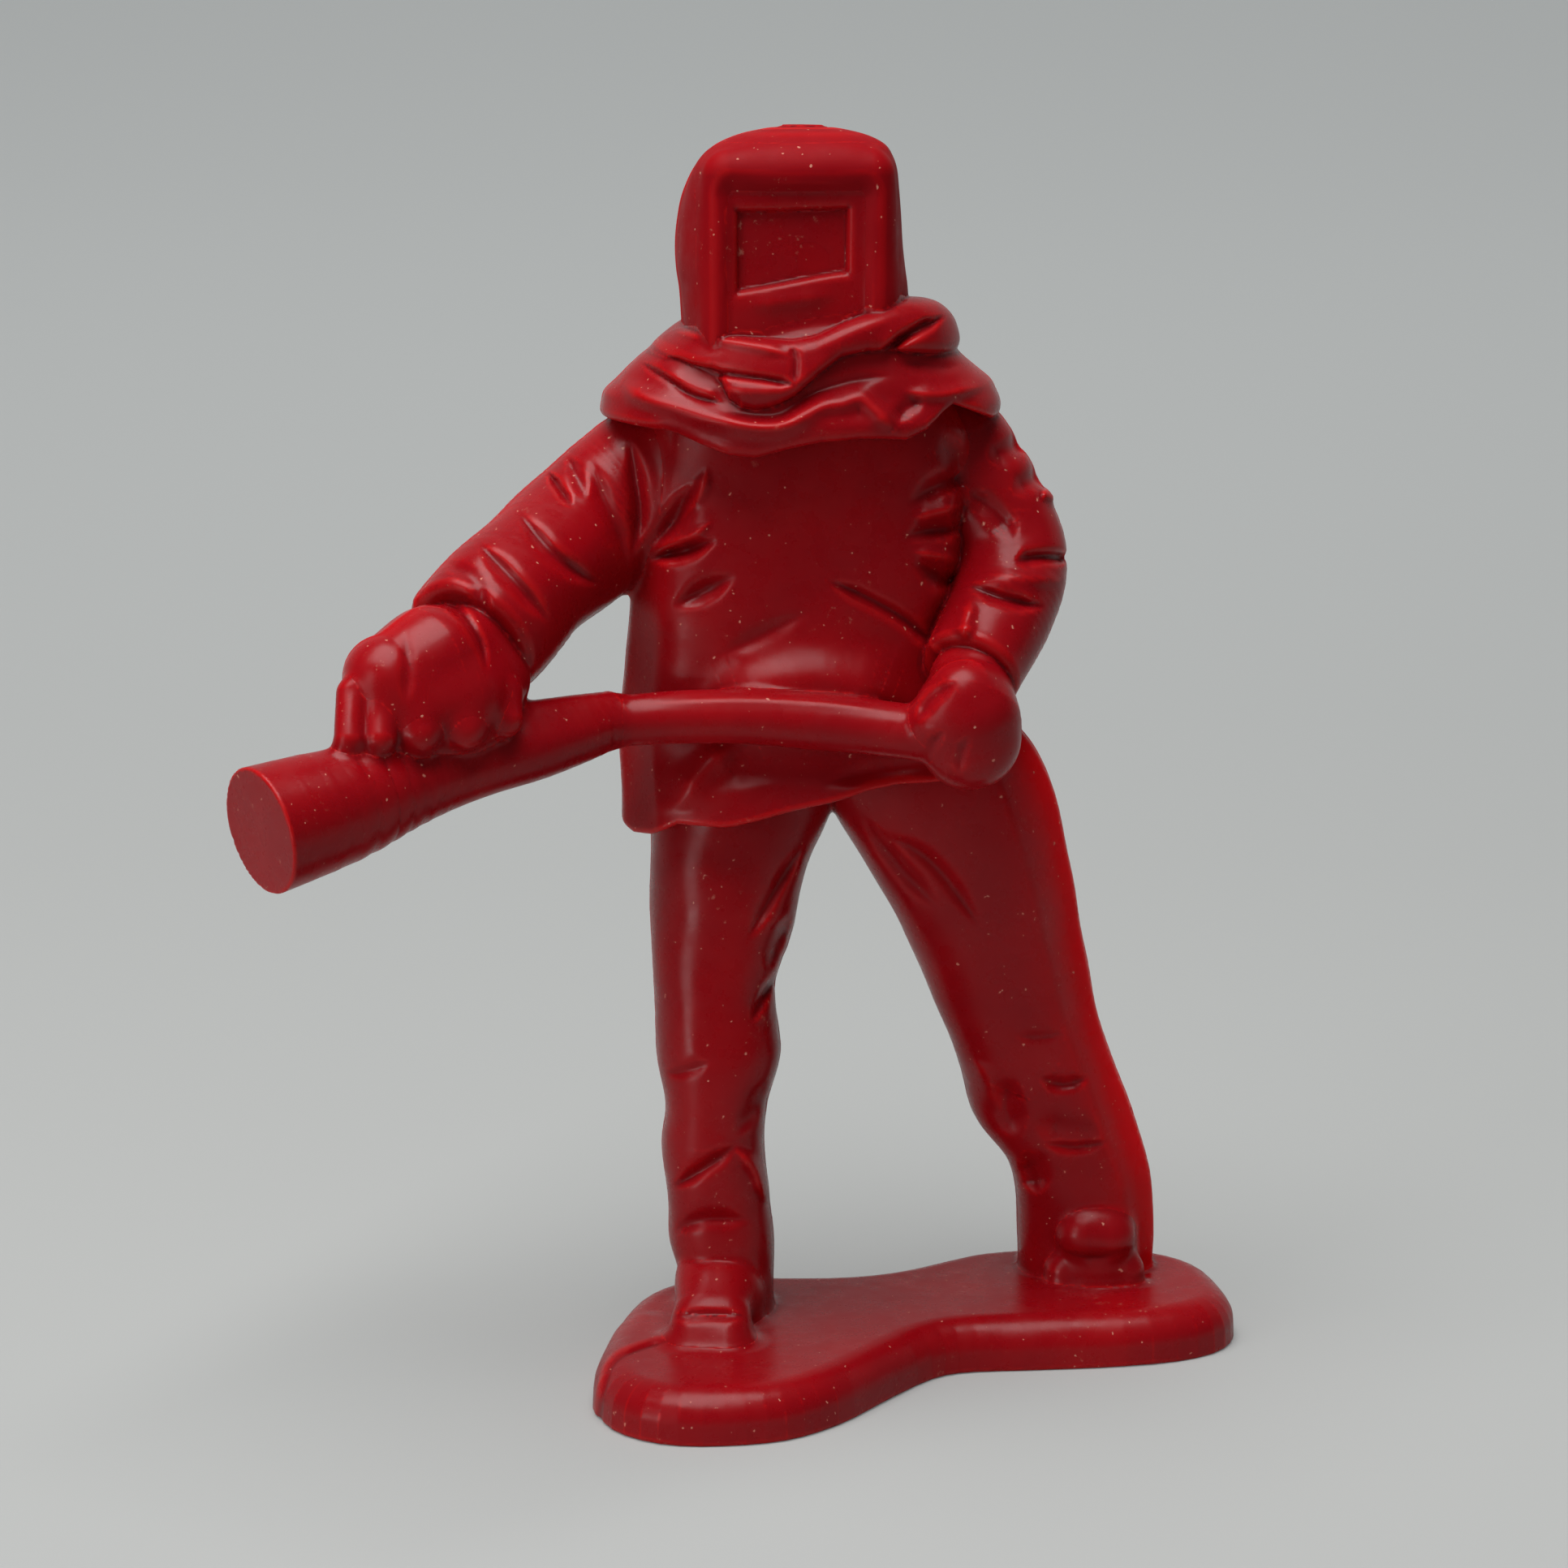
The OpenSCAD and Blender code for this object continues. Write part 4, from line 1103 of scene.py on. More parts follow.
@dataclass
class Hands:
    """Gloves, and the nozzle and hose that they hold.

    A row of the flare is a share of the way to the mouth and a share of the widening.
    """

    joint: Place = (-15.0, -3.53, 32.7)
    mouth: Place = (-29.8, -14.93, 29.7)
    mouth_round: float = 2.88
    throat: float = 1.28
    flare: Rows = (
        (0, 0), (.1, .14), (.22, .22), (.36, .2), (.5, .26), (.64, .48), (.8, .83), (1, 1))
    nozzle_steps: int = 3
    lip_round: float = .12
    hose: Rows = (
        (-15.0, -3.53, 32.7, 1.2), (-14.3, -3.5, 32.7, 1.2), (-11.3, -3.4, 32.85, 1.25),
        (-8.3, -3.4, 32.85, 1.3), (-5.2, -3.5, 32.65, 1.35), (-2.6, -3.8, 32.4, 1.3),
        (-.9, -4.2, 32.25, 1.28), (.4, -4.5, 32.0, 1.25))
    hose_end_round: float = .01
    palm: Rows = (
        (-21.3, -6.6, 36.4, -22.8, -8.5, 35.95, 2.4, 2.55),
        (-22.9, -8.8, 35.95, -24.5, -10.2, 35.6, 2.6, 2.15),
        (-20.2, -7.2, 35.2, -21.5, -9.0, 34.6, 1.7, 2.0),
        (-21.5, -9.2, 34.5, -23.5, -10.6, 34.4, 1.95, 1.6),
        (-21.6, -9.1, 33.5, -24.9, -11.2, 33.3, 1.2, 1.0))
    palm_fuse: float = .9
    fingers: Rows = (
        (-26.1, -11.5, 35.25, -26.05, -12.7, 33.4, .7, .72),
        (-24.85, -11.2, 35.4, -24.8, -12.4, 33.4, .72, .75),
        (-23.3, -10.6, 35.3, -23.1, -11.5, 33.5, .92, .92),
        (-21.3, -9.9, 34.5, -21.1, -10.6, 33.5, .92, .9),
        (-19.6, -8.4, 34.6, -19.5, -9.1, 33.7, .88, .85))
    fingers_fuse: float = .35
    fist: Rows = (
        (1.8, -3.0, 34.4, 1.6, -4.1, 33.2, 1.95, 2.4), (1.5, -4.2, 32.8, 1.75, -4.0, 31.9, 2.4, 2.35),
        (.2, -4.9, 32.9, 1.3, -4.8, 34.2, 1.25, 1.45))
    fist_fuse: float = .5
    web: Rows = ((-19.0, -6.6, 33.3, -14.7, -3.5, 33.35, .75, .55),)
    web_fuse: float = .7
    right_folds: Folds = (
        Crease(((520, 742), (560, 748), (590, 790), (600, 830)), .2, .25),
        Crease(((500, 775), (502, 820), (500, 870)), .12, .3))
    left_folds: Folds = (
        Crease(((1128, 890), (1150, 860), (1180, 840)), .18, .3),
        Crease(((1140, 945), (1150, 915), (1165, 900)), .15, .25),
        Crease(((1180, 955), (1185, 925), (1195, 905)), .12, .25))
    hose_folds: Folds = (
        Crease(((790, 868), (900, 862), (1010, 866), (1110, 880)), -.06, .25),)

    def nozzle(self) -> Path:
        """The flared pipe: the throat radius plus a share of the flare along a straight axis.

        Returns:
            The pipe, flat at both ends.
        """
        a, b = np.asarray(self.joint), np.asarray(self.mouth)
        wider = self.mouth_round - self.throat
        rows = tuple((*(a + s * (b - a)), self.throat + f * wider) for s, f in self.flare)
        return Path(rows, self.nozzle_steps, flat_start=True, flat_end=True, end_round=self.lip_round)

    def pieces(self) -> list[Piece]:
        """Builds the gloves before the things that they hold.

        Returns:
            The pieces, in the order in which they are fused.
        """
        palm = Lumps(self.palm, self.palm_fuse)
        fingers = Lumps(self.fingers, self.fingers_fuse)
        fist = Lumps(self.fist, self.fist_fuse)
        nozzle = Joined((self.nozzle(), Lumps(self.web)), self.web_fuse)
        hose = Path(self.hose, flat_start=True, end_round=self.hose_end_round)
        return [
            Piece("right_glove", palm, root=.2, creases=self.right_folds),
            Piece("right_glove_fingers", fingers, root=.5, seam=0.0),
            Piece("left_glove", fist, root=.12, creases=self.left_folds),
            Piece("nozzle", nozzle, root=.8, seam=0.0, rough=.012),
            Piece("hose", hose, root=.4, creases=self.hose_folds, seam=0.0, rough=.012)]


@dataclass
class Head:
    """The hood with its framed visor.

    The places of the visor's blocks are seen from the hood's middle, in its own turned frame.
    """

    turn: float = 5.0
    middle: tuple[float, float] = (-6.5, .8)
    hood: Rows = (
        (47.5, -6.4, 1.2, 5.0, 4.8), (50.0, -6.4, 1.3, 5.2, 5.0), (52.3, -6.5, 1.3, 5.27, 5.1),
        (53.46, -6.64, 1.3, 5.28, 5.1), (54.59, -6.72, 1.3, 5.22, 5.1), (55.71, -6.73, 1.3, 5.12, 5.05),
        (56.84, -6.7, 1.3, 4.96, 4.9), (57.9, -6.55, 1.3, 4.66, 4.75), (58.6, -6.37, 1.3, 4.3, 4.5),
        (59.15, -6.2, 1.3, 3.85, 4.1), (59.6, -6.1, 1.3, 2.95, 3.4), (59.86, -6.05, 1.3, 1.9, 2.25),
        (60.0, -6.05, 1.3, .9, 1.1))
    square: float = 2.9
    pocket_at: Place = (-.2, -5.0, 53.4)
    pocket_half: Place = (3.6, .95, 4.15)
    pocket_round: float = .75
    rim_at: Place = (-.05, -2.75, 53.7)
    rim_half: Place = (4.35, 1.95, 5.2)
    rim_round: float = 1.1
    panel_at: Place = (-.2, -3.65, 53.4)
    panel_half: Place = (3.8, .5, 4.3)
    panel_round: float = .2
    sill_at: Place = (-.4, -4.6, 51.65)
    sill_half: Place = (4.0, 1.5, 1.05)
    sill_round: float = .1
    sill_slant: float = .17
    hole_at: Place = (-.38, -4.6, 54.3)
    hole_half: Place = (2.8, 1.0, 2.25)
    hole_round: float = .3
    hole_slant: float = .02
    window_at: Place = (-.38, -3.45, 54.3)
    window_half: Place = (2.95, .16, 2.35)
    window_round: float = .1
    window_slant: float = .05
    panel_folds: Folds = (
        Crease(((905, 378), (960, 372), (1040, 362)), -.4, .6),
        Crease(((893, 240), (893, 320), (884, 400)), -.1, .2, fade=.2))

    def slab(self, at: Place, half: Place, round_: float, slant: float = 0.0) -> Slab:
        """A block placed in the hood's own turned frame.

        Args:
            at: Its middle there.
            half: Half its width, depth and height.
            round_: Radius of its edges.
            slant: How far it rises for each millimetre along its own x.
        Returns:
            The block.
        """
        c, s = math.cos(math.radians(self.turn)), math.sin(math.radians(self.turn))
        x, y, z = at
        spot = (self.middle[0] + c * x - s * y, self.middle[1] + s * x + c * y, z)
        return Slab(spot, half, round_, self.turn, slant)

    def pieces(self) -> list[Piece]:
        """Builds hood, rim, panel and window.

        Returns:
            The pieces, in the order in which they are fused.
        """
        shell = Levels(self.hood, self.square, turn=self.turn, end_round=0.0)
        pocket = self.slab(self.pocket_at, self.pocket_half, self.pocket_round)
        frame = self.slab(self.rim_at, self.rim_half, self.rim_round)
        sheet = self.slab(self.panel_at, self.panel_half, self.panel_round)
        sill = self.slab(self.sill_at, self.sill_half, self.sill_round, self.sill_slant)
        opening = self.slab(self.hole_at, self.hole_half, self.hole_round, self.hole_slant)
        hole = Joined((opening,), cuts=(sill,))
        window = self.slab(self.window_at, self.window_half, self.window_round, self.window_slant)
        hood = Joined((shell,), cuts=(pocket, hole), cut_round=.5)
        rim = Joined((frame,), cuts=(pocket, hole), cut_round=.6)
        panel = Joined((sheet,), cuts=(hole,), cut_round=.22)
        return [
            Piece("hood", hood, root=.25, rough=.03, finish=Finish.WORN),
            Piece("visor_rim", rim, root=1.4, seam=0.0, rough=.02, finish=Finish.WORN),
            Piece("visor_panel", panel, root=.35, creases=self.panel_folds, seam=0.0, rough=.02),
            Piece("visor_window", window, root=.08, seam=0.0, rough=.02)]


@dataclass
class Drape:
    """The scarf wound round the neck and the cape below it."""

    square: float = 2.3
    scarf: Rows = (
        (46.6, -6.3, 1.9, 8.8, 7.1), (47.4, -6.25, 1.8, 8.5, 7.05), (48.2, -6.2, 1.7, 8.2, 6.95),
        (49.0, -6.15, 1.6, 7.75, 6.75), (49.6, -6.05, 1.5, 7.45, 6.5), (50.4, -5.65, 1.4, 7.0, 6.15),
        (51.2, -5.4, 1.3, 6.5, 5.75), (51.8, -5.2, 1.2, 5.85, 5.2), (52.3, -5.2, 1.2, 4.9, 4.7))
    scarf_foot: Rows = (
        (-14.0, 49.7), (-13.2, 49.6), (-12.2, 49.3), (-11.1, 48.95), (-10.2, 48.8), (-9.75, 48.4),
        (-9.4, 47.7), (-8.85, 47.35), (-8.2, 47.25), (-7.6, 47.35), (-7.0, 47.6), (-6.4, 47.95),
        (-5.3, 48.9), (-4.25, 49.6), (-3.1, 49.85), (-1.8, 49.9), (-.3, 49.7), (1.5, 49.5))
    scarf_foot_back: Rows = ((-14.0, 49.7), (-10.0, 49.3), (-6.2, 49.1), (-2.0, 49.4), (1.5, 49.5))
    collar: Rows = (
        (-13.0, 50.7), (-11.8, 50.85), (-10.9, 50.8), (-10.0, 50.6), (-8.6, 50.45), (-6.5, 50.4),
        (-5.5, 50.6), (-4.35, 51.05), (-3.1, 51.5), (-1.7, 52.1), (-1.1, 52.25), (.2, 52.2), (1.5, 51.6))
    collar_back: Rows = ((-13.0, 50.7), (-11.8, 51.0), (-6.2, 51.3), (-1.1, 52.0), (1.5, 51.6))
    scarf_round: float = .7
    cape: Rows = (
        (44.2, -6.2, 2.0, 9.3, 6.6), (45.2, -6.2, 2.0, 9.4, 6.95), (46.0, -6.2, 2.0, 9.45, 7.1),
        (46.6, -6.17, 1.9, 9.45, 7.0), (47.16, -6.11, 1.85, 9.43, 6.7), (47.73, -6.13, 1.8, 9.26, 6.4),
        (48.3, -6.0, 1.7, 8.81, 6.15), (48.88, -6.06, 1.55, 8.17, 5.85), (49.45, -6.08, 1.4, 7.5, 5.55),
        (50.0, -5.95, 1.3, 6.9, 5.3), (50.6, -5.75, 1.2, 6.2, 5.0), (51.4, -5.7, 1.2, 5.4, 4.5))
    hem: Rows = (
        (-16.0, 46.6), (-15.3, 46.45), (-12.4, 46.17), (-10.5, 45.54), (-9.3, 45.16), (-8.2, 45.05),
        (-6.7, 45.42), (-5.2, 45.8), (-3.5, 45.91), (-1.3, 45.84), (-.35, 46.28), (.4, 47.0), (.9, 47.35),
        (2.1, 46.85), (2.85, 46.5), (3.6, 46.5))
    hem_back: Rows = (
        (-16.0, 46.6), (-12.5, 45.6), (-9.0, 45.0), (-6.2, 44.7), (-3.0, 45.1), (.5, 45.7), (3.6, 46.5))
    hem_round: float = .45
    scarf_folds: Folds = (
        Crease(((820, 441), (854, 454), (889, 460), (920, 464), (950, 468), (978, 474)),
               .3, .2, fade=.12),
        Crease(((976, 426), (981, 446), (979, 474)), .14, .26, lip=.1, lip_wide=.6, fade=.25),
        Crease(((1085, 432), (1125, 410), (1165, 388)), .35, .25, lip=.1, fade=.3),
        Crease(((1098, 420), (1130, 402), (1150, 390)), .2, .16, fade=.3),
        Crease(((830, 408), (899, 420), (946, 429), (972, 438)), -.2, .3, fade=.2),
        Crease(((1000, 432), (1050, 412), (1100, 390)), -.12, .5),
        Crease(((885, 478), (925, 482), (970, 482)), -.15, .3))
    cape_folds: Folds = (
        Crease(((790, 446), (823, 466), (854, 486), (892, 497)), .18, .22, lip=.3, lip_wide=.8, fade=.2),
        Crease(((815, 456), (850, 474), (888, 486)), -.12, .3, fade=.25),
        Crease(((768, 472), (795, 490), (830, 501), (872, 513), (920, 524), (960, 525),
                (990, 512), (1014, 500), (1038, 496), (1060, 491), (1078, 503), (1100, 528)),
               -.42, .46, fade=.06),
        Crease(((885, 508), (935, 514), (965, 510), (1000, 486), (1045, 470), (1100, 462)),
               .18, .3, fade=.2),
        Crease(((1110, 482), (1160, 486), (1215, 474)), -.3, .35),
        Crease(((1105, 446), (1150, 452), (1190, 450)), .2, .35),
        Crease(((1104, 522), (1116, 504), (1140, 492)), .25, .35),
        Crease(((800, 516), (860, 533), (915, 548)), .12, .5),
        Crease(((-13.5, 48.4), (-11.0, 46.8), (-9.6, 45.4)), .35, .35, face=Face.BACK),
        Crease(((-10.0, 49.0), (-8.0, 47.2), (-6.6, 45.2)), .35, .35, face=Face.BACK),
        Crease(((-2.6, 49.0), (-4.4, 47.2), (-5.6, 45.2)), .35, .35, face=Face.BACK),
        Crease(((1.4, 48.6), (-1.0, 47.0), (-2.6, 45.6)), .35, .35, face=Face.BACK))

    def pieces(self) -> list[Piece]:
        """Builds the scarf before the cape, as the cape comes out from under it.

        Returns:
            The pieces, in the order in which they are fused.
        """
        scarf = Levels(self.scarf, self.square, below=self.scarf_foot, below_back=self.scarf_foot_back,
                       above=self.collar, above_back=self.collar_back, hem_round=self.scarf_round)
        cape = Levels(self.cape, self.square, below=self.hem, below_back=self.hem_back,
                      hem_round=self.hem_round)
        return [
            Piece("neck_roll", scarf, root=.1, creases=self.scarf_folds, seam=0.0),
            Piece("cape", cape, root=.15, creases=self.cape_folds)]


# Finish

class Shading:
    """Adds nodes to a new material's tree and links them."""

    def __init__(self, mat: bpy.types.Material) -> None:
        """Keeps the tree, its shader and the object's own coordinates.

        Args:
            mat: The new material.
        """
        mat.use_nodes = True
        self.nodes, self.links = mat.node_tree.nodes, mat.node_tree.links
        self.shader = self.nodes["Principled BSDF"]
        self.place = self.nodes.new("ShaderNodeTexCoord").outputs["Object"]

    def feed(self, name: str, source: Socket) -> None:
        """Links a socket to one of the shader's inputs."""
        self.links.new(source, self.shader.inputs[name])

    def attribute(self, name: str) -> Socket:
        """Reads a measure that is kept at the mesh's points.

        Args:
            name: The measure.
        Returns:
            Its value.
        """
        node = self.nodes.new("ShaderNodeAttribute")
        node.attribute_name = name
        return node.outputs["Fac"]

    def noise(self, scale: float, detail: float, rough: float = .5) -> Socket:
        """A noise on the object's own coordinates.

        Args:
            scale: Lumps to a metre.
            detail: Number of finer layers.
            rough: Share of each finer layer.
        Returns:
            Its value, from 0 to 1.
        """
        node = self.nodes.new("ShaderNodeTexNoise")
        node.inputs["Scale"].default_value = scale
        node.inputs["Detail"].default_value = detail
        node.inputs["Roughness"].default_value = rough
        self.links.new(self.place, node.inputs["Vector"])
        return node.outputs["Fac"]

    def ramp(self, source: Socket, stops: Rows) -> Socket:
        """A colour ramp.

        Args:
            source: The value that runs along it.
            stops: Rows of a place and either three colour parts or one grey.
        Returns:
            The colour.
        """
        node = self.nodes.new("ShaderNodeValToRGB")
        while len(node.color_ramp.elements) < len(stops):
            node.color_ramp.elements.new(.5)
        for element, (at, *parts) in zip(node.color_ramp.elements, stops):
            element.position = at
            element.color = (*(parts if len(parts) == 3 else parts * 3), 1.0)
        self.links.new(source, node.inputs["Fac"])
        return node.outputs["Color"]

    def mix(self, share: Socket, a: Socket | Colour, b: Socket | Colour) -> Socket:
        """Mixes a colour towards another.

        Args:
            share: How much of the second.
            a: First colour.
            b: Second colour.
        Returns:
            The mixed colour.
        """
        node = self.nodes.new("ShaderNodeMix")
        node.data_type = "RGBA"
        self.links.new(share, node.inputs["Factor"])
        for name, colour in (("A", a), ("B", b)):
            if isinstance(colour, tuple):
                node.inputs[name].default_value = (*colour, 1.0)
            else:
                self.links.new(colour, node.inputs[name])
        return node.outputs["Result"]

    def math(self, operation: str, a: Socket, b: Socket | float) -> Socket:
        """One step of arithmetic.

        Args:
            operation: Blender's own name for it.
            a: First value.
            b: Second value.
        Returns:
            The result.
        """
        node = self.nodes.new("ShaderNodeMath")
        node.operation = operation
        self.links.new(a, node.inputs[0])
        if isinstance(b, float):
            node.inputs[1].default_value = b
        else:
            self.links.new(b, node.inputs[1])
        return node.outputs["Value"]

    def grow(self, source: Socket, span: tuple[float, float], values: tuple[float, float]) -> Socket:
        """Goes smoothly from one value to another.

        Args:
            source: What it grows along.
            span: Where it starts and ends.
            values: The value at each of the two.
        Returns:
            The value.
        """
        node = self.nodes.new("ShaderNodeMapRange")
        node.interpolation_type = "SMOOTHSTEP"
        for name, value in zip(("From Min", "From Max", "To Min", "To Max"), (*span, *values)):
            node.inputs[name].default_value = value
        self.links.new(source, node.inputs["Value"])
        return node.outputs["Result"]


@dataclass(frozen=True)
class RedPlastic:
    """The moulding's soft red plastic: deep and glossy, with fine dust; painted shade in creases, a painted
    highlight on edges, and a painted glow along the rim that stands in for light shining through it.

    Rows of specks, patches, marks and tones are a place on the noise and an amount there. Edges are
    the places on the edge measure of dark, deep, deep, bright and bright: dark is painted shade in
    creases, bright a painted highlight on edges; deep and bright also set the two ends of the random
    tone.
    """

    deep: Colour = (.3, .002, .006)
    # Painted highlight on edges, and the light end of the random tone.
    bright: Colour = (.5, .005, .007)
    # Painted shade in creases.
    dark: Colour = (.12, .0015, .004)
    # Painted glow: a lighter red on the rim that stands in for light shining through the plastic.
    painted_glow: Colour = (.85, .006, .01)
    dust: Colour = (.8, .35, .25)
    rough: tuple[float, float] = (.22, .36)
    gloss: float = .22
    glow_gloss: float = .02
    glow_at: float = .6
    glow: tuple[float, float] = (.15, .85)
    scatter: Colour = (1.0, .08, .05)
    scatter_depth: float = .0012
    ior: float = 1.5
    # Stops of painted shade in creases and painted highlight on edges along the curvature.
    edges: tuple[float, ...] = (.0, .42, .58, .85, 1.0)
    cloud_scale: float = 180.0
    cloud_share: float = .35
    tones: Rows = ((.35, .9), (.7, 1.15))
    speck_scale: float = 3600.0
    specks: Rows = ((.75, 0.0), (.79, .7))
    patch_scale: float = 210.0
    patches: Rows = ((.6, 0.0), (.7, 1.0))
    mark_scale: float = 2300.0
    marks: Rows = ((.63, 0.0), (.73, .35))
    grain_scale: float = 900.0
    grain: tuple[float, float] = (.3, .7)
    bump: float = .12
    bump_high: float = .0001

    def colour(self, shading: Shading, rim: Socket) -> Socket:
        """Paints shade into creases and a highlight onto edges by the edge measure, mixes in a cloud of
        tone, paints a lighter red on the rim for light shining through the plastic, and puts dust and
        scuffs on top.

        Args:
            shading: The material's nodes.
            rim: The rim measure.
        Returns:
            The colour.
        """
        # Painted shade in creases and painted highlight on edges, from the curvature.
        reds = (self.dark, self.deep, self.deep, self.bright, self.bright)
        body = shading.ramp(shading.attribute("edge"), tuple((at, *red) for at, red in zip(self.edges, reds)))
        cloud = shading.noise(self.cloud_scale, detail=3.0)
        ends = zip(self.tones, (self.deep, self.bright))
        tone = shading.ramp(cloud, tuple((at, *(gain * part for part in red)) for (at, gain), red in ends))
        colour = shading.mix(shading.math("MULTIPLY", cloud, self.cloud_share), body, tone)
        # Painted glow on the rim, standing in for light shining through the plastic.
        colour = shading.mix(rim, colour, self.painted_glow)
        speck = shading.ramp(shading.noise(self.speck_scale, detail=1.0), self.specks)
        colour = shading.mix(speck, colour, self.dust)
        patches = shading.ramp(shading.noise(self.patch_scale, detail=1.0), self.patches)
        marks = shading.ramp(shading.noise(self.mark_scale, detail=3.0, rough=.7), self.marks)
        return shading.mix(shading.math("MULTIPLY", patches, marks), colour, self.dust)

    def material(self, name: str) -> bpy.types.Material:
        """Makes the plastic: light under the skin, more of it on the rim of the painted glow, a fine grain in
        gloss and bump.

        Args:
            name: What the material is called.
        Returns:
            The material.
        """
        mat = bpy.data.materials.new(name)
        shading = Shading(mat)
        rim = shading.attribute("rim")
        shading.feed("Base Color", self.colour(shading, rim))
        shading.feed("Subsurface Weight", shading.ramp(rim, ((0.0, self.glow[0]), (1.0, self.glow[1]))))
        dull = shading.ramp(rim, ((0.0, self.gloss), (self.glow_at, self.glow_gloss)))
        shading.feed("Specular IOR Level", dull)
        grain = shading.noise(self.grain_scale, detail=4.0, rough=.6)
        shading.feed("Roughness", shading.ramp(grain, tuple(zip(self.grain, self.rough))))
        bump = shading.nodes.new("ShaderNodeBump")
        bump.inputs["Strength"].default_value = self.bump
        bump.inputs["Distance"].default_value = self.bump_high
        shading.links.new(grain, bump.inputs["Height"])
        shading.feed("Normal", bump.outputs["Normal"])
        shading.shader.inputs["IOR"].default_value = self.ior
        shading.shader.inputs["Subsurface Radius"].default_value = self.scatter
        shading.shader.inputs["Subsurface Scale"].default_value = self.scatter_depth
        return mat


# Studio

@dataclass(frozen=True)
class Lamp:
    """A soft box aimed at the figure's middle, in metres and watts."""

    name: str
    place: Place
    wide: float
    high: float
    watts: float
    aim: Place = (-.005, 0.0, .03)

    def build(self) -> None:
        """Makes the lamp and turns it down and sideways towards its aim."""
        data = bpy.data.lights.new(self.name, "AREA")
        data.shape = "RECTANGLE"
        data.size = self.wide
        data.size_y = self.high
        data.energy = self.watts
        lamp = bpy.data.objects.new(self.name, data)
        lamp.location = self.place
        aim = np.array(self.aim) - np.array(self.place)
        flat = math.hypot(aim[0], aim[1])
        lamp.rotation_euler = (math.atan2(flat, -aim[2]), 0.0, math.atan2(-aim[0], aim[1]))
        bpy.context.collection.objects.link(lamp)


@dataclass(frozen=True)
class Studio:
    """Pale floor that sweeps up into the backdrop, and soft light, in metres.

    The floor is lifted behind the figure for the camera and for reflections, and dark in front of it
    for reflections alone.
    """

    floor_colour: Colour = (.36, .363, .353)
    floor_rough: float = .9
    half_wide: float = 3.0
    front: float = -3.0
    back: float = .12
    bend: float = .9
    bend_points: int = 24
    wall: float = 1.4
    lift: float = .26
    lift_near: float = .13
    lift_span: tuple[float, float] = (0.0, .4)
    lift_colour: Colour = (.95, 1.0, 1.0)
    dark: Colour = (.03, .03, .03)
    dark_span: tuple[float, float] = (-.03, -.07)
    sky: Colour = (.9, .95, 1.0)
    sky_light: float = .07
    sky_seen: float = .4
    lamps: tuple[Lamp, ...] = (
        Lamp("overhead", (-.06, -.08, .41), .36, .36, 2.2),
        Lamp("window", (-.38, -.36, .16), .16, .3, .34),
        Lamp("card", (-.095, -.085, .007), .035, .014, .012))

    def floor(self) -> None:
        """Makes a sweep: flat floor, quarter bend and wall, carried straight across."""
        turn = np.linspace(0.0, math.pi / 2, self.bend_points)
        bend = np.stack([self.back + self.bend * np.sin(turn), self.bend - self.bend * np.cos(turn)], 1)
        profile = np.concatenate([[[self.front, 0.0]], bend, [[self.back + self.bend, self.wall]]])
        n = len(profile)
        sides = (-self.half_wide, self.half_wide)
        points = np.concatenate([np.column_stack([np.full(n, x), profile]) for x in sides])
        i = np.arange(n - 1)
        mesh = bpy.data.meshes.new("floor")
        mesh.from_pydata(points.tolist(), [], np.stack([i, i + n, i + n + 1, i + 1], 1).tolist())
        mesh.polygons.foreach_set("use_smooth", np.ones(n - 1, bool))
        sweep = bpy.data.objects.new("floor", mesh)
        bpy.context.collection.objects.link(sweep)
        mat = bpy.data.materials.new("pale_floor")
        self.dress(mat)
        mesh.materials.append(mat)
        sweep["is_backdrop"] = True

    def dress(self, mat: bpy.types.Material) -> None:
        """Gives the floor its colour, its lift behind the figure and its dark front.

        Args:
            mat: The floor's new material.
        """
        shading = Shading(mat)
        apart = shading.nodes.new("ShaderNodeSeparateXYZ")
        shading.links.new(shading.place, apart.inputs["Vector"])
        depth = apart.outputs["Y"]
        rays = shading.nodes.new("ShaderNodeLightPath").outputs
        seen = shading.grow(depth, self.lift_span, (self.lift_near, self.lift))
        seen = shading.math("MULTIPLY", seen, rays["Is Camera Ray"])
        mirrored = shading.grow(depth, self.lift_span, (0.0, self.lift))
        mirrored = shading.math("MULTIPLY", mirrored, rays["Is Glossy Ray"])
        shading.feed("Emission Strength", shading.math("ADD", seen, mirrored))
        front = shading.grow(depth, self.dark_span, (0.0, 1.0))
        front = shading.math("MULTIPLY", front, rays["Is Glossy Ray"])
        shading.feed("Base Color", shading.mix(front, self.floor_colour, self.dark))
        shading.shader.inputs["Emission Color"].default_value = (*self.lift_colour, 1.0)
        shading.shader.inputs["Roughness"].default_value = self.floor_rough

    def build(self) -> None:
        """Makes floor and lamps, and an even world that the camera sees paler than it shines."""
        self.floor()
        for lamp in self.lamps:
            lamp.build()
        world = bpy.data.worlds.new("studio")
        world.use_nodes = True
        nodes, links = world.node_tree.nodes, world.node_tree.links
        back = nodes["Background"]
        back.inputs["Color"].default_value = (*self.sky, 1.0)
        rays = nodes.new("ShaderNodeLightPath")
        pale = nodes.new("ShaderNodeMapRange")
        pale.inputs["To Min"].default_value = self.sky_light
        pale.inputs["To Max"].default_value = self.sky_seen
        links.new(rays.outputs["Is Camera Ray"], pale.inputs["Value"])
        links.new(pale.outputs["Result"], back.inputs["Strength"])
        bpy.context.scene.world = world
        bpy.context.scene.view_settings.view_transform = "Standard"


# Making

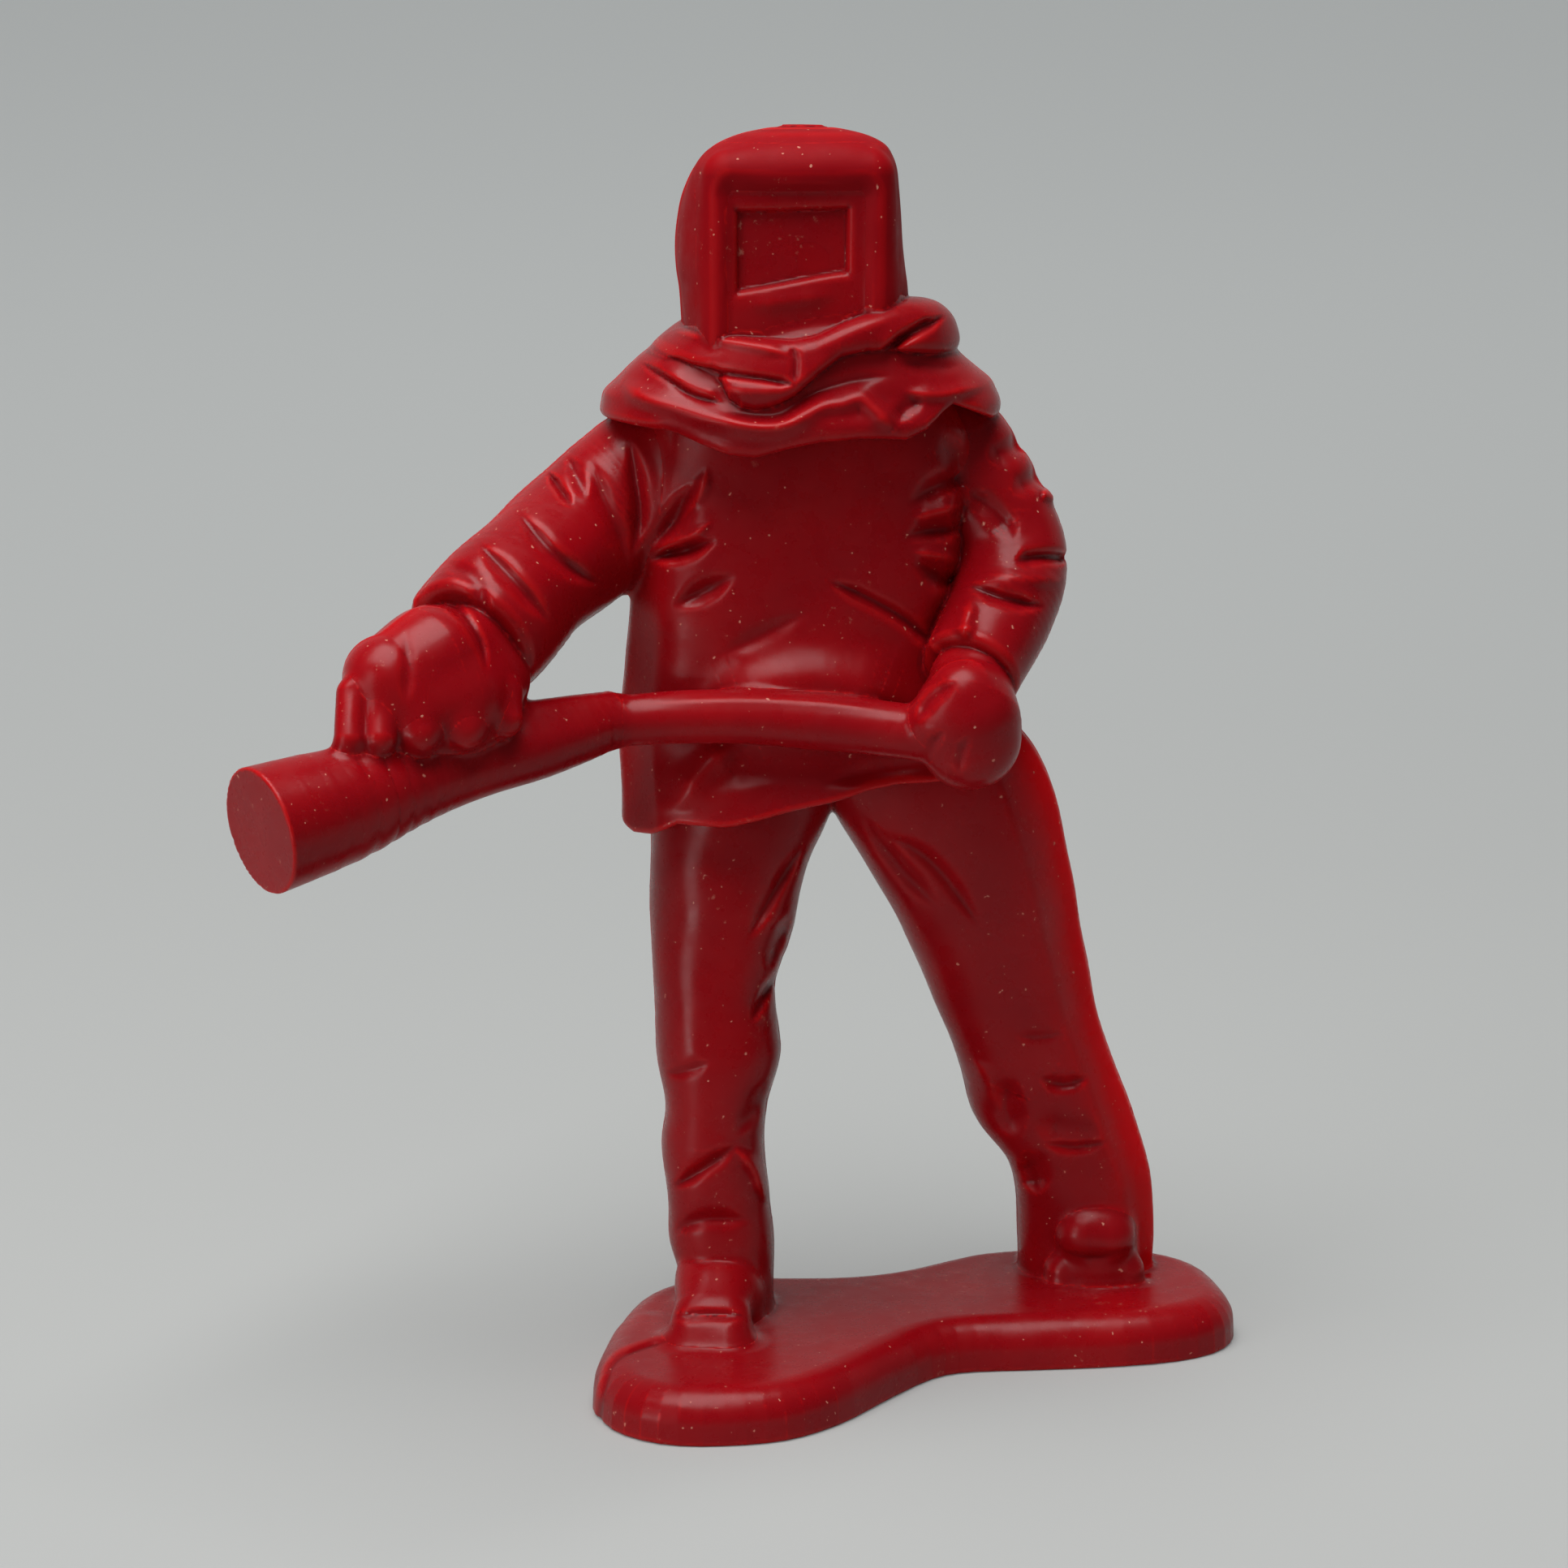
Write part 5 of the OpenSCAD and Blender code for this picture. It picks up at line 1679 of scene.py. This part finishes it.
def make_object(name: str, skin: Skin, mat: bpy.types.Material, low: Array, high: Array) -> bpy.types.Object:
    """Puts a meshed piece into Blender, in metres, kept inside the CAD box.

    The edge measure is the curvature brought into 0 to 1, with .5 for flat; the plastic paints
    shade into creases and a highlight onto edges from it. The rim measure is the mask of the painted
    glow.

    Args:
        name: What the object is called.
        skin: The meshed piece.
        mat: Its finish.
        low: Lowest corner of the CAD box, metres.
        high: Highest corner.
    Returns:
        The new object.
    """
    quads = skin.quads
    mesh = bpy.data.meshes.new(name)
    mesh.vertices.add(len(skin.points))
    mesh.loops.add(quads.size)
    mesh.polygons.add(len(quads))
    mesh.vertices.foreach_set("co", np.clip(skin.points * MM, low, high).astype(np.float32).ravel())
    mesh.loops.foreach_set("vertex_index", quads.astype(np.int32).ravel())
    mesh.polygons.foreach_set("loop_start", np.arange(0, quads.size, 4, dtype=np.int32))
    mesh.polygons.foreach_set("use_smooth", np.ones(len(quads), bool))
    mesh.update(calc_edges=True)
    # Edge measure: painted shade in creases, painted highlight on edges.
    edge = mesh.attributes.new("edge", "FLOAT", "POINT")
    edge.data.foreach_set("value", (.5 + .5 * np.tanh(skin.bend * PAINTED_LIGHT_GAIN)).astype(np.float32))
    # Rim measure: mask of the painted glow of light shining through the plastic.
    rim = mesh.attributes.new("rim", "FLOAT", "POINT")
    rim.data.foreach_set("value", skin.rim.astype(np.float32))
    mesh.normals_split_custom_set_from_vertices(skin.normals.tolist())
    mesh.materials.append(mat)
    obj = bpy.data.objects.new(name, mesh)
    bpy.context.collection.objects.link(obj)
    return obj


def main() -> None:
    """Loads the frame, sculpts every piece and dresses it."""
    logging.basicConfig(level=logging.INFO, format="%(message)s")
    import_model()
    low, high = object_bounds()
    VIEW.build()
    Studio().build()
    plastics = {Finish.GLOSSY: RedPlastic(), Finish.WORN: RedPlastic(rough=(.45, .62), gloss=.07)}
    materials = {finish: plastic.material(finish.value) for finish, plastic in plastics.items()}
    pieces: list[Piece] = []
    for assembly in (Stand(), Trousers(), Torso(), Hands(), Head(), Drape()):
        pieces += assembly.pieces()
    sculpt = Sculpt(pieces)
    step = FULL_STEP
    for index, piece in enumerate(pieces):
        made = sculpt.mesh(index, step)
        finish = materials[piece.finish]
        obj = make_object(piece.name + "_skin", made, finish, np.asarray(low), np.asarray(high))
        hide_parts(piece.name)
        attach(obj, BODY)
        LOG.info("%s: %d points, %d quads", piece.name, len(made.points), len(made.quads))


if __name__ == "__main__":
    main()
